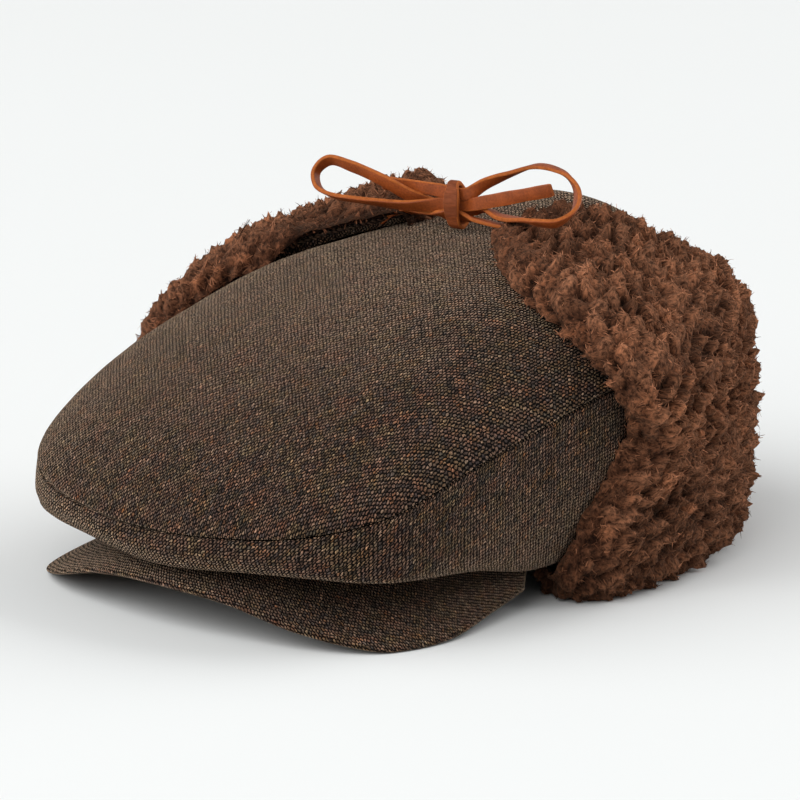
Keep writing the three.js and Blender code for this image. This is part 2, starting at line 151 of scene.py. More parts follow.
# Bow: the middle of its knot, and how far it is turned from the wearer's left towards the back
KNOT = np.array([0, 30, 135.5])
BOW_TURN = math.radians(11.5)
KNOT_HALF_OUT = 3.3
KNOT_HALF_UP = 7.6

# One row per bend of a lace, from its flap's tip to its cut end, counted from the knot's middle.
# along: to the wearer's left. out: to the front. lean: how far its width tips from upright to the front.
# swing: how far its width turns from there to the wearer's left. Angles in degrees.
LACE_COLUMNS = ("along", "out", "up", "lean", "swing")
LACES = {
    "lace_left": (
        (36, 10, -11.6, 90, 0),
        (26, 4.2, -6.2, 90, 0),
        (18, 2.2, -5.8, 85, 0),
        (12.5, 1, -5.4, 85, 0),
        (8.5, 0.6, -5, 78, 0),
        (5, 0.4, -4.6, 50, 0),
        (-5, -1.7, -3.2, 0, 0),
        (-9.5, -2.6, -2.4, 5, 0),
        (-14.5, -2.5, -0.8, 10, 0),
        (-21.9, 0.5, 2, 15, 0),
        (-28.6, 3.2, 5.9, 20, 0),
        (-38.7, 3, 9.3, 20, 0),
        (-46.6, 2.5, 11.3, 25, 0),
        (-58, 1, 12.4, 45, 0),
        (-63.4, 2, 7.4, 66, 0),
        (-61, 5, 2.6, 68, 0),
        (-53.6, 8.5, 0.4, 66, 0),
        (-35.2, 9, -0.6, 60, 0),
        (-18.4, 5, -1.5, 40, 0),
        (-10.7, 2.5, -0.9, 15, 0),
        (-5, 0, 0, 0, 0),
        (5, 0, 0, 0, 0),
        (8.7, 1, 1.2, 0, 0),
        (26.1, 3.6, 6, 5, 0),
        (45.2, 5, 11.1, 10, 0),
    ),
    "lace_right": (
        (-36, -4.3, -11.4, 90, 0),
        (-27, -4.5, -6.2, 60, 0),
        (-18, -3, -5.3, 75, 0),
        (-12, -1.2, -4.9, 80, 0),
        (-8.5, 0, -4.7, 70, 0),
        (-5, 0.6, -4.4, 40, 0),
        (0, -0.6, -3.6, 10, 0),
        (5, -2.2, -2.2, 0, 0),
        (9, -2.5, -1.2, 55, 0),
        (14, -1, -1.2, 78, 0),
        (20, 2.4, -2.1, 88, 0),
        (27, 6.8, -1.7, 90, 0),
        (38, 15.5, 0.2, 80, 0),
        (49, 24, 1.8, 60, 0),
        (58, 24, 2.8, 50, 20),
        (61.2, 18, 6, 45, 40),
        (58, 8, 10, 45, 40),
        (51.4, 0, 14, 60, 20),
        (42.7, -6, 16.5, 80, 0),
        (30.4, -9, 16.8, 90, 0),
        (19.9, -7, 12.9, 75, 0),
        (11, -3, 8.8, 30, 0),
        (5, 0, 4.9, 0, 0),
        (-5, 0, 4.9, 0, 0),
        (-13, -1.5, 4.9, 0, 0),
        (-25, -3, 4.7, 5, 0),
        (-36, -3.6, 4.6, 8, 0),
    ),
}

# The picture's view: turned from straight in front, raised over the floor, and the field of its square frame
VIEW_TURN = math.radians(41.60365)
VIEW_RAISE = math.radians(13.5)
VIEW_FIELD = math.radians(8.8653)
VIEW_DISTANCE = 2.01865
VIEW_TARGET = Vector((0.00255, -0.01234, 0.06339))

# Lights: how far off they stand, and each one's width in metres, its turn and its rise in degrees.
# The turn is counted from the front to the wearer's left.
LIGHT_DISTANCE = 8
LIGHTS = {"left": (9, -45, 33), "front": (9, 5, 44), "back": (8, 152, 34)}

# Floor: half its width, and how far it lies under the frame's floor, in metres
FLOOR_HALF = 9
FLOOR_DROP = 0.0002


def colour(name, description, default):
    """A colour that a user can change, in linear light."""
    return bpy.props.FloatVectorProperty(
        name=name, description=description, default=default, subtype="COLOR", size=3, min=0, max=1
    )


def length(name, description, default):
    """A length in metres that a user can change."""
    return bpy.props.FloatProperty(
        name=name, description=description, default=default, min=0, unit="LENGTH", precision=5
    )


def count(name, description, default, most):
    """A whole number that a user can change."""
    return bpy.props.IntProperty(name=name, description=description, default=default, min=1, max=most)


def power(name, description, default):
    """A light's power in watts that a user can change."""
    return bpy.props.FloatProperty(name=name, description=description, default=default, min=0, unit="POWER")


class CapCloth(bpy.types.PropertyGroup):
    """Sizes and colours of the tweed."""

    wall: length("Cloth", "Thickness of the cloth", 0.002)
    yarn_across: length("Yarn across", "Spacing of the yarns across the weave", 0.00138)
    yarn_down: length("Yarn down", "Spacing of the yarns down the weave", 0.00165)
    gap: colour("Between yarns", "Dark ground between the yarns", (0.002, 0.0012, 0.001))
    dark: colour("Dark yarn", "Darkest yarns", (0.053, 0.033, 0.025))
    brown: colour("Brown yarn", "Main yarns", (0.145, 0.089, 0.063))
    tan: colour("Tan yarn", "Lightest flecks", (0.25, 0.166, 0.117))
    rust: colour("Rust yarn", "Reddish flecks", (0.18, 0.087, 0.047))
    slate: colour("Slate yarn", "Bluish flecks", (0.085, 0.066, 0.059))


class CapFleece(bpy.types.PropertyGroup):
    """Sizes and colours of the pile."""

    ground_height: length("Ground height", "Height of the matted pile between the tufts", 0.0052)
    tuft_height: length("Tuft height", "Height of the tufts over the ground", 0.0058)
    tuft_width: length("Tuft width", "Half the width of a tuft", 0.0033)
    tuft_length: length("Tuft length", "Half the length of a tuft", 0.0054)
    spacing: length("Tuft spacing", "Least distance between neighbouring tufts", 0.0050)
    roll: length("Roll", "Radius of the pile's roll round the flap's free edges", 0.004)
    fibre: length("Fibre", "Width of one fibre at its root", 0.0004)
    fuzz: count("Fuzz", "Loose fibres on a square centimetre", 90, 120)
    wisps: count("Wisps", "Fibres drawn to the point of one tuft", 6, 9)
    seed: count("Seed", "Order of the tufts", 7, 999)
    # The root colour stands for the pile's darker roots and also paints the shade in the gaps between the
    # tufts and under them
    root: colour("Root", "Pile in the gaps between the tufts", (0.017, 0.0062, 0.0033))
    body: colour("Body", "Pile on the sides of the tufts", (0.165, 0.066, 0.034))
    tip: colour("Tip", "Pile on the tips of the tufts", (0.39, 0.169, 0.09))


class CapLace(bpy.types.PropertyGroup):
    """Sizes and colours of the bow."""

    width: length("Width", "Width of the lace", 0.0053)
    thick: length("Thickness", "Thickness of the lace", 0.0017)
    grain: colour("Grain", "Smooth face of the leather", (0.305, 0.068, 0.013))
    cut: colour("Cut edge", "Raw edges of the leather", (0.42, 0.112, 0.02))


class CapStage(bpy.types.PropertyGroup):
    """Floor and light."""

    floor: colour("Floor", "Colour of the floor", (0.81, 0.825, 0.82))
    sky: bpy.props.FloatProperty(name="Sky", description="Light from all round", default=0.34, min=0)
    left: power("Left", "Light from the wearer's right in front", 335)
    front: power("Front", "Light from the front", 410)
    back: power("Back", "Light from behind", 395)


def mix(start, end, share):
    """A value between two, by share."""
    return start + (end - start) * share


def unit(vectors):
    """Vectors of length one."""
    return vectors / np.maximum(np.linalg.norm(vectors, axis=-1, keepdims=True), 1e-9)


def ease(low, high, value):
    """A smooth step from 0 at low to 1 at high."""
    share = np.clip((value - low) / (high - low), 0, 1)
    return share * share * (3 - 2 * share)


def facing(grid):
    """Directions square to a grid of points."""
    return unit(np.cross(np.gradient(grid, axis=0), np.gradient(grid, axis=1)))


def lengths_along(points, axis=0):
    """Lengths from the first point along one index of a grid."""
    steps = np.linalg.norm(np.diff(points, axis=axis), axis=-1)
    start = np.zeros_like(np.take(steps, [0], axis))
    return np.concatenate([start, np.cumsum(steps, axis)], axis)


def spline(before, start, end, after, part):
    """A smooth curve from start to end, by part, that also follows its neighbours."""
    rise = (end - before) / 2
    fall = (after - start) / 2
    square = part * part
    cube = square * part
    head = (2 * cube - 3 * square + 1) * start + (cube - 2 * square + part) * rise
    return head + (3 * square - 2 * cube) * end + (cube - square) * fall


def read_line(cells, place, even=False):
    """Values read smoothly between stations: straight past the ends, or level there if even."""
    cells = np.asarray(cells, float)
    place = np.asarray(place, float)
    ends = (cells[1], cells[-2]) if even else (2 * cells[0] - cells[1], 2 * cells[-1] - cells[-2])
    padded = np.concatenate([[ends[0]], cells, [ends[1]]])
    base = np.clip(np.floor(place).astype(int), 0, len(cells) - 2)
    return spline(padded[base], padded[base + 1], padded[base + 2], padded[base + 3], place - base)


def read_table(table, place):
    """A table's columns at places counted in stations. Places below zero are the mirrored side."""
    place = np.asarray(place, float)
    side = np.where(place < 0, -1, 1)
    read = {}
    for name, cells in zip(table["columns"], zip(*table["rows"])):
        flips = name in table["mirrored"]
        value = read_line(cells, np.abs(place), even=not flips)
        read[name] = side * value if flips else value
    return read


def crown_row(place):
    """The crown's table at stations counted all the way round."""
    turned = np.mod(place, 2 * BACK)
    return read_table(CROWN, np.where(turned > BACK, turned - 2 * BACK, turned))


def rim_point(turn, z):
    """Points of the head opening's oval at angles in degrees from the front."""
    angle = np.radians(turn)
    x = RIM["half_width"] * np.sin(angle)
    y = RIM["middle_y"] - RIM["half_length"] * np.cos(angle)
    return np.stack(np.broadcast_arrays(x, y, z), -1)


def crown_point(place, depth):
    """Points of the crown's outer face: depth 0 to 1 from apex to seam, 1 to 2 from seam to rim."""
    place, depth = np.broadcast_arrays(np.asarray(place, float), np.asarray(depth, float))
    row = crown_row(place)
    seam = np.stack([row["x"], row["y"], row["z"]], -1)
    share = np.sin(np.minimum(depth, 1) * math.pi / 2)
    fall = np.maximum(1 - share ** row["crest"], 0) ** row["dome"]
    top = mix(APEX, seam, share[..., None])
    away = (top[..., 0] / DENT["half_width"]) ** 2 + ((top[..., 1] - DENT["y"]) / DENT["half_length"]) ** 2
    top[..., 2] = row["z"] + (APEX[2] - row["z"]) * fall - DENT["deep"] * np.exp(-away) * fall
    rim = rim_point(row["turn"], row["rim_z"])
    belly = mix(seam, rim, row["belly_in"][..., None])
    belly[..., 2] = row["belly_z"]
    tuck = mix(seam, rim, row["tuck_in"][..., None])
    tuck[..., 2] = row["tuck_z"]
    line = np.stack([2 * seam - belly, seam, belly, tuck, rim, 2 * rim - tuck])
    part = np.maximum(depth - 1, 0) * 3
    base = np.clip(np.floor(part).astype(int), 0, 2)
    cells = [np.take_along_axis(line, (base + step)[None, ..., None], 0)[0] for step in range(4)]
    side = spline(*cells, (part - base)[..., None])
    return np.where((depth <= 1)[..., None], top, side)


def crown_normal(place, depth):
    """The crown's outward direction, rounded over the seam."""
    place, depth = np.broadcast_arrays(np.asarray(place, float), np.asarray(depth, float))
    seam = np.abs(depth - 1) < SEAM_REACH
    middle = np.where(seam, 1, np.clip(depth, 2 * SLOPE_STEP, 2))
    reach = np.where(seam, SEAM_REACH, SLOPE_STEP)
    across = crown_point(place + SLOPE_STEP, middle) - crown_point(place - SLOPE_STEP, middle)
    down = crown_point(place, middle + reach) - crown_point(place, middle - reach)
    return unit(np.cross(down, across))


def even_lines(knots, steps):
    """Points at even lengths along smooth curves through knots, one curve per first index.

    Also where between the knots they lie, and the curves' lengths.
    """
    knots = np.asarray(knots, float)
    last = knots.shape[1] - 1
    padded = np.concatenate([2 * knots[:, :1] - knots[:, 1:2], knots, 2 * knots[:, -1:] - knots[:, -2:-1]], 1)
    places = np.linspace(0, last, 40 * last + 1)
    base = np.clip(np.floor(places).astype(int), 0, last - 1)
    part = (places - base)[None, :, None]
    cells = [padded[:, base + step] for step in range(4)]
    gaps = [np.linalg.norm(cells[i + 1] - cells[i], axis=-1, keepdims=True) ** 0.5 for i in range(3)]
    slopes = [
        (cells[i + 1] - cells[i]) / gaps[i]
        - (cells[i + 2] - cells[i]) / (gaps[i] + gaps[i + 1])
        + (cells[i + 2] - cells[i + 1]) / gaps[i + 1]
        for i in range(2)
    ]
    square = part * part
    cube = square * part
    dense = (2 * cube - 3 * square + 1) * cells[1] + (3 * square - 2 * cube) * cells[2]
    dense = dense + ((cube - 2 * square + part) * slopes[0] + (cube - square) * slopes[1]) * gaps[1]
    run = lengths_along(dense, 1)
    even = np.linspace(0, 1, steps + 1)
    lines = [[np.interp(even * r[-1], r, d[:, axis]) for axis in range(3)] for r, d in zip(run, dense)]
    at = np.array([np.interp(even * r[-1], r, places) for r in run])
    return np.moveaxis(np.array(lines), 1, 2), at, run[:, -1]


def flap_lines(along, close=False):
    """Bends of the flap's outer cloth face from under the rim, round the fold and up to its top edge.

    If close, those of an inner face that lies on the crown.
    """
    along = np.asarray(along, float)
    half = np.maximum(1 - np.abs(1 - 2 * along), 0)
    right = along > 0.5
    row = read_table(FLAP, half * (len(FLAP["rows"]) - 1))

    def station(up):
        """Crown stations, up from 0 at the fold to 1 at the top edge."""
        left_edge, right_edge = (read_line(FLAP_FRONT[side], up * 6) for side in ("left", "right"))
        return mix(np.where(right, right_edge, left_edge), BACK, half)

    rim = rim_point(crown_row(station(0))["turn"], FOLD_Z)
    out = unit((rim - (0, RIM["middle_y"], 0)) * (1, 1, 0))
    inside = 2.0 * close
    points = [
        rim - out * FOLD_IN + (0, 0, inside),
        rim + out * (FOLD_UNDER - inside / 2) + (0, 0, inside),
        rim + out * (FOLD_OUT - inside) + (0, 0, FOLD_RISE),
    ]
    for front, rise, stand in FLAP_LEVELS:
        depth = 1 - rise + 0 * half if rise < 0 else mix(1, row["top"], rise)
        place = station(front)
        off = CLOSE_GAP + 0 * half if close else row[stand]
        if not close and stand != "crest":
            off = off * np.where(right, mix(0.85, 1, ease(0, 0.25, half)), 1)
        points.append(crown_point(place, depth) + crown_normal(place, depth) * off[:, None])
    lines = np.stack(points, 1)
    lines[right, :, 0] *= -1
    return lines


class FlapFace:
    """The flap's outer cloth face as a grid, or the same rolled in round its front edges and its top edge.

    The first index runs along the flap from the wearer's left front edge, round the back, to the right one.
    The second runs from under the rim, round the fold and up to the top edge.
    """

    # Columns and rows left out where the roll takes their place, and the rows or columns of the roll
    ROLL_COLUMNS = 5
    ROLL_ROWS = 2
    ROLL_STEPS = 13
    # Lengths from the top edge over which the wearer's right front edge changes from thin to full
    THIN = 38
    FULL = 62
    # How far the top, left and right edges turn in, in degrees, and the right edge's part of the roll.
    # The right edge has two values: where it is thin and where it is full.
    TOP_TURN = 110
    LEFT_TURN = 100
    RIGHT_TURN = (50, 105)
    RIGHT_ROLL = (0.32, 0.9)

    def __init__(self, columns, rows, roll=0):
        lines = even_lines(flap_lines(np.linspace(0, 1, columns + 1)), rows)[0]
        if roll:
            lines = self.rolled(lines[self.ROLL_COLUMNS :, : -self.ROLL_ROWS], roll)
        side = np.gradient(lines, axis=0)
        rise = np.gradient(lines, axis=1)
        self.points = lines
        self.normals = unit(np.cross(side, rise))
        self.rise = unit(rise)
        self.side = np.cross(self.rise, self.normals)
        self.area = np.linalg.norm(np.cross(side, rise), axis=-1)
        along = lengths_along(lines, 0)
        up = lengths_along(lines, 1)
        self.from_front = np.minimum(along, along[-1:] - along)
        self.from_top = up[:, -1:] - up

    def rolled(self, lines, roll):
        """The grid with more rows and columns that roll in round its free edges, less on the right."""

        def more(edge, before, out, reach, most):
            """Lines that turn in round an edge, up to the most degrees."""
            ahead = unit(edge - before)
            turns = np.linspace(0, most, self.ROLL_STEPS + 1)[1:]
            turns = np.radians(turns).reshape(self.ROLL_STEPS, -1, 1)
            return edge + np.reshape(reach, (-1, 1)) * (ahead * np.sin(turns) + out * (np.cos(turns) - 1))

        top = more(lines[:, -1], lines[:, -3], facing(lines)[:, -1], roll, self.TOP_TURN)
        lines = np.concatenate([lines, np.moveaxis(top, 0, 1)], 1)
        out = facing(lines)
        left = more(lines[0], lines[2], out[0], roll, self.LEFT_TURN)
        up = lengths_along(lines[-1])
        low = ease(self.THIN, self.FULL, up[-1] - up)
        roll = roll * mix(*self.RIGHT_ROLL, low)
        right = more(lines[-1], lines[-3], out[-1], roll, mix(*self.RIGHT_TURN, low))
        return np.concatenate([left[::-1], lines, right])

    def flat(self):
        """Width and length of the cloth before it was folded up, in metres."""
        width = np.linalg.norm(np.diff(self.points, axis=0), axis=-1).sum(0).max()
        length = np.linalg.norm(np.diff(self.points, axis=1), axis=-1).sum(1).max()
        return width * MM, length * MM

    def read(self, grid, column, row):
        """A grid of vectors read between its points."""
        left = np.clip(column.astype(int), 0, len(grid) - 2)
        low = np.clip(row.astype(int), 0, grid.shape[1] - 2)
        fx = (column - left)[:, None]
        fy = (row - low)[:, None]
        bottom = mix(grid[left, low], grid[left + 1, low], fx)
        return mix(bottom, mix(grid[left, low + 1], grid[left + 1, low + 1], fx), fy)


def bow_point(along, out, up):
    """Points or directions counted along the bow, to its front and up."""
    x = along * math.cos(BOW_TURN) + out * math.sin(BOW_TURN)
    y = along * math.sin(BOW_TURN) - out * math.cos(BOW_TURN)
    return np.stack(np.broadcast_arrays(x, y, up), -1)


def lace_rings(name):
    """Middles of a lace at even lengths, with the directions of its width and of its thickness."""
    cells = dict(zip(LACE_COLUMNS, np.array(LACES[name], float).T))
    bends = bow_point(cells["along"], cells["out"], cells["up"]) + KNOT
    _, _, run = even_lines(bends[None], 1)
    steps = int(run[0])
    middles, places, run = even_lines(bends[None], steps)
    ahead = unit(np.gradient(middles[0], axis=0))
    lean = np.radians(read_line(cells["lean"], places[0]))
    swing = np.radians(read_line(cells["swing"], places[0]))
    wide = bow_point(np.sin(swing), np.cos(swing) * np.sin(lean), np.cos(swing) * np.cos(lean))
    wide = unit(wide - ahead * (wide * ahead).sum(-1, keepdims=True))
    return middles[0], wide, np.cross(ahead, wide), run[0]


def ripple(points, length, seed):
    """A smooth uneven value between about -1 and 1 at each point, with swells about one length apart."""
    rng = np.random.default_rng(seed)
    value = np.zeros(points.shape[:-1])
    for _ in range(6):
        way = unit(rng.normal(size=3)) * 2 * math.pi / length * rng.uniform(0.6, 1.3)
        value = value + np.sin(points @ way + rng.uniform(0, 2 * math.pi))
    return value / 3


def metres(points):
    """Points of the tables, in the frame's own metres."""
    return (points - (0, MIDDLE_Y, 0)) * MM


def grid_faces(rows, columns, ring_rows=False, ring_columns=False):
    """Corner numbers of a grid's quads, and the same with unwrapped numbers for its map."""
    row, column = np.meshgrid(
        np.arange(rows - (not ring_rows)), np.arange(columns - (not ring_columns)), indexing="ij"
    )
    row = row.ravel()
    column = column.ravel()
    step_row = np.stack([row, row + 1, row + 1, row], 1)
    step_column = np.stack([column, column, column + 1, column + 1], 1)
    corners = (step_row % rows) * columns + step_column % columns
    wide = columns + ring_columns
    return corners, step_row * wide + step_column


def make_piece(name, points, faces, uv, materials, face_material=None, normals=None, more_maps=()):
    """One mesh object in metres, with its maps and materials."""
    mesh = bpy.data.meshes.new(name)
    mesh.vertices.add(len(points))
    mesh.vertices.foreach_set("co", metres(points).astype(np.float32).ravel())
    mesh.loops.add(faces.size)
    mesh.loops.foreach_set("vertex_index", faces.astype(np.int32).ravel())
    mesh.polygons.add(len(faces))
    starts = np.arange(len(faces), dtype=np.int32) * faces.shape[1]
    mesh.polygons.foreach_set("loop_start", starts)
    mesh.polygons.foreach_set("use_smooth", np.ones(len(faces), bool))
    if face_material is not None:
        mesh.polygons.foreach_set("material_index", face_material.astype(np.int32))
    for key, spots in {"OFBake": uv, **dict(more_maps)}.items():
        layer = mesh.uv_layers.new(name=key)
        layer.uv.foreach_set("vector", spots.astype(np.float32).ravel())
    for material in materials:
        mesh.materials.append(material)
    mesh.update(calc_edges=True)
    if normals is not None:
        mesh.normals_split_custom_set_from_vertices(normals.astype(np.float32))
    piece = bpy.data.objects.new(name, mesh)
    bpy.context.scene.collection.objects.link(piece)
    return piece


def outward(points, faces):
    """Faces in the order that gives the closed body a volume above zero."""
    a, b, c, d = (points[faces[:, corner]] for corner in range(4))
    volume = (a * np.cross(b, c)).sum() + (a * np.cross(c, d)).sum()
    return faces if volume > 0 else faces[:, ::-1]


def pinch_ends(grid):
    """Closes a wall's first and last column by bringing its two faces together there."""
    for column in (0, -1):
        grid[:, column] = (grid[:, column] + grid[::-1, column]) / 2


def settle(piece, node):
    """Puts a piece in the place of its solid, on the cap's one body."""
    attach(piece, BODY)
    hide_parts(node)


def make_wall(name, grid, uv, materials, ring_rows, ring_columns):
    """A closed cloth wall from a grid of points (rows, columns, 3), welded where rows or columns meet."""
    rows, columns = grid.shape[:2]
    faces, spots = grid_faces(rows, columns, ring_rows, ring_columns)
    points = grid.reshape(-1, 3)
    turned = outward(points, faces)
    spots = spots if turned is faces else spots[:, ::-1]
    piece = make_piece(name, points, turned, uv.reshape(-1, 2)[spots.ravel()], materials)
    work = bmesh.new()
    work.from_mesh(piece.data)
    bmesh.ops.remove_doubles(work, verts=work.verts, dist=1e-6)
    work.to_mesh(piece.data)
    work.free()
    return piece


def grey(level):
    """A grey of one level, as a colour."""
    return (level, level, level)


class Finish:
    """One material and the nodes that feed its shader."""

    def __init__(self, name):
        self.material = bpy.data.materials.new(name)
        self.material.use_nodes = True
        self.nodes = self.material.node_tree.nodes
        self.links = self.material.node_tree.links
        self.shader = self.nodes["Principled BSDF"]

    def node(self, kind, inputs=(), **settings):
        """A new node with its settings and inputs."""
        node = self.nodes.new(kind)
        for key, value in settings.items():
            setattr(node, key, value)
        for key, value in dict(inputs).items():
            self.feed(node.inputs[key], value)
        return node

    def feed(self, socket, value):
        """Links a socket to another, or sets its value."""
        if isinstance(value, bpy.types.NodeSocket):
            self.links.new(value, socket)
        elif socket.type == "RGBA" and len(value) == 3:
            socket.default_value = (*value, 1)
        else:
            socket.default_value = value

    def math(self, operation, first, second=0.0, third=0.0, clamp=False):
        """Arithmetic on single values."""
        node = self.node("ShaderNodeMath", operation=operation, use_clamp=clamp)
        for socket, value in zip(node.inputs, (first, second, third)):
            self.feed(socket, value)
        return node.outputs[0]

    def blend(self, share, first, second, way="MIX"):
        """Two colours mixed, by share."""
        node = self.node("ShaderNodeMix", data_type="RGBA", blend_type=way)
        for index, value in ((0, share), (6, first), (7, second)):
            self.feed(node.inputs[index], value)
        return node.outputs[2]

    def tinted(self, first, second):
        """One colour multiplied by another."""
        return self.blend(1.0, first, second, "MULTIPLY")

    def vector(self, operation, inputs):
        """Arithmetic on vectors."""
        return self.node("ShaderNodeVectorMath", inputs, operation=operation).outputs[0]

    def ramp(self, value, stops):
        """Colours read between stops, each a position and a colour."""
        node = self.node("ShaderNodeValToRGB", {"Fac": value})
        for index, (position, tint) in enumerate(stops):
            elements = node.color_ramp.elements
            element = elements[index] if index < 2 else elements.new(position)
            element.position = position
            element.color = (*tint, 1)
        return node.outputs[0]

    def uv(self, name="OFBake"):
        """Places on one of the piece's maps."""
        return self.node("ShaderNodeUVMap", uv_map=name).outputs[0]

    def split(self, vector):
        """A vector's or a colour's three values."""
        return self.node("ShaderNodeSeparateXYZ", {"Vector": vector}).outputs

    def noise(self, vector, scale, detail=2.0, rough=0.5):
        """Smooth noise with about this many swells to a unit of the map."""
        settings = {"Vector": vector, "Scale": scale, "Detail": detail, "Roughness": rough}
        return self.node("ShaderNodeTexNoise", settings).outputs

    def bump(self, height, strength, distance):
        """Relief that stands up to a distance in metres."""
        settings = {"Height": height, "Strength": strength, "Distance": distance}
        self.links.new(self.node("ShaderNodeBump", settings).outputs[0], self.shader.inputs["Normal"])

    def set(self, **values):
        """Feeds the shader's own sockets, named with _ for each space."""
        for key, value in values.items():
            self.feed(self.shader.inputs[key.replace("_", " ")], value)


def tweed_weave(finish, place, cloth):
    """Counts of yarns across and down, the fluff on them and the height of the weave."""
    wander = finish.noise(place, 420.0, 3.0)["Color"]
    shift = finish.vector("SUBTRACT", {0: wander, 1: grey(0.5)})
    shift = finish.vector("SCALE", {0: shift, "Scale": 0.002})
    x, y, _ = finish.split(finish.vector("ADD", {0: place, 1: shift}))
    over = finish.math("MULTIPLY", x, 1 / cloth.yarn_across)
    down = finish.math("MULTIPLY", y, -1 / cloth.yarn_down)
    slant = finish.math("ADD", over, down)
    fluff = finish.noise(place, 1700.0, 2.0, 0.6)["Fac"]
    height = finish.math("MULTIPLY_ADD", fluff, 0.3, 0.3)
    for yarns, part in ((over, 0.13), (down, 0.21), (slant, 0.24)):
        wave = finish.math("COSINE", finish.math("MULTIPLY", yarns, 2 * math.pi))
        height = finish.math("MULTIPLY_ADD", wave, part, height, clamp=yarns is slant)
    return over, down, fluff, height


def tweed_yarn(finish, place, cloth, over, down, fluff):
    """Colour of the yarns, and how light each stretch of them is."""
    cell = {"X": finish.math("ROUND", over), "Y": finish.math("ROUND", down)}
    cell = finish.node("ShaderNodeCombineXYZ", cell).outputs[0]
    pick = finish.node("ShaderNodeTexWhiteNoise", {"Vector": cell}, noise_dimensions="2D").outputs
    kinds = [
        (0.0, cloth.dark),
        (0.14, cloth.slate),
        (0.3, cloth.brown),
        (0.7, cloth.brown),
        (0.86, cloth.tan),
        (0.95, cloth.rust),
        (1.0, cloth.tan),
    ]
    cool_to_warm = [
        (0.3, (0.74, 0.82, 0.92)),
        (0.43, (0.96, 0.99, 0.94)),
        (0.55, (1.02, 0.98, 0.95)),
        (0.7, (1.35, 1.02, 0.8)),
    ]
    rose_to_green = [(0.38, (1.04, 0.96, 1.0)), (0.5, grey(1)), (0.64, (1.0, 1.03, 0.84))]
    chance = finish.split(pick["Color"])[1]
    slub = finish.noise(place, 520.0, 1.0)["Fac"]
    light = finish.ramp(chance, [(0.0, grey(0.7)), (0.5, grey(1.0)), (1.0, grey(1.3))])
    light = finish.tinted(light, finish.ramp(fluff, [(0.3, grey(0.2)), (0.7, grey(1.9))]))
    light = finish.tinted(light, finish.ramp(slub, [(0.35, grey(0.78)), (0.65, grey(1.22))]))
    first, second, _ = finish.split(finish.noise(place, 130.0, 3.0, 0.6)["Color"])
    yarn = finish.tinted(finish.ramp(pick["Value"], kinds), light)
    yarn = finish.tinted(yarn, finish.ramp(first, cool_to_warm))
    return finish.tinted(yarn, finish.ramp(second, rose_to_green)), light


def tweed():
    """Flecked tweed: short slanting floats of mixed yarn over a dark ground, made once."""
    made = bpy.data.materials.get("tweed_weave")
    if made:
        return made
    cloth = bpy.context.scene.cap_cloth
    finish = Finish("tweed_weave")
    place = finish.uv()
    over, down, fluff, height = tweed_weave(finish, place, cloth)
    yarn, light = tweed_yarn(finish, place, cloth, over, down, fluff)
    cover = finish.ramp(height, [(0.32, grey(0)), (0.62, grey(1))])
    finish.set(Base_Color=finish.blend(cover, tuple(cloth.gap), yarn))
    finish.set(Roughness=0.92, Specular_IOR_Level=0.08)
    aslant = finish.node("ShaderNodeLayerWeight", {"Blend": 0.5}).outputs["Facing"]
    sheen = finish.ramp(aslant, [(0.3, grey(0.02)), (0.55, grey(0.8)), (0.75, grey(1.0))])
    sheen = finish.math("MULTIPLY", finish.math("MULTIPLY", sheen, cover), light, clamp=True)
    finish.set(Sheen_Weight=sheen, Sheen_Roughness=0.42, Sheen_Tint=(1.0, 0.74, 0.52))
    finish.bump(height, 1.0, 0.0006)
    return finish.material


def fleece_fibre():
    """Loose wool fibres with painted shade: dark low in the pile, between the tufts, lighter on them and
    darker towards the floor; each a little different.
    """
    fleece = bpy.context.scene.cap_fleece
    finish = Finish("fleece_fibre")
    lock_tone_and_floor_shade, along, _ = finish.split(finish.uv())
    shade = finish.ramp(along, [(0.0, fleece.root), (0.45, fleece.body), (1.0, fleece.tip)])
    tint = finish.ramp(lock_tone_and_floor_shade, [(0.0, (0.22, 0.2, 0.19)), (0.5, (0.95, 0.93, 0.9)), (1.0, (1.6, 1.53, 1.46))])
    finish.set(Base_Color=finish.tinted(shade, tint), Roughness=0.85)
    finish.set(Sheen_Weight=0.08, Sheen_Roughness=0.4, Sheen_Tint=(0.9, 0.55, 0.35), Specular_IOR_Level=0.1)
    return finish.material


def fleece_tuft():
    """Curled tufts of wool with a fine fibrous grain, and painted shade: dark in the gaps between them and
    darker towards the floor.
    """
    fleece = bpy.context.scene.cap_fleece
    finish = Finish("fleece_tuft")
    lock_tone_and_floor_shade, rise, _ = finish.split(finish.uv("tuft"))
    place = finish.uv()
    grain = finish.noise(place, 950.0, 4.0, 0.7)
    curl = finish.noise(place, 380.0, 3.0, 0.6)
    # Painted shade: low in the pile, in the gaps between the tufts, the colour goes to the dark root colour
    level = finish.math("MULTIPLY_ADD", curl["Fac"], 0.5, finish.math("ADD", rise, -0.25))
    body, tip = (0.6 * np.array(part) for part in (fleece.body, fleece.tip))
    shade = finish.ramp(level, [(0.0, fleece.root), (0.45, body), (1.0, tip)])
    tint = finish.ramp(lock_tone_and_floor_shade, [(0.0, (0.55, 0.53, 0.52)), (0.5, grey(1)), (1.0, (1.45, 1.35, 1.25))])
    speck = finish.ramp(grain["Fac"], [(0.38, (0.25, 0.23, 0.22)), (0.5, grey(1)), (0.62, (1.8, 1.7, 1.6))])
    finish.set(Base_Color=finish.tinted(finish.tinted(shade, tint), speck), Roughness=0.95)
    finish.set(Sheen_Weight=0.1, Sheen_Roughness=0.5, Sheen_Tint=(0.9, 0.55, 0.35), Specular_IOR_Level=0.1)
    finish.bump(grain["Fac"], 1.0, 0.0012)
    return finish.material


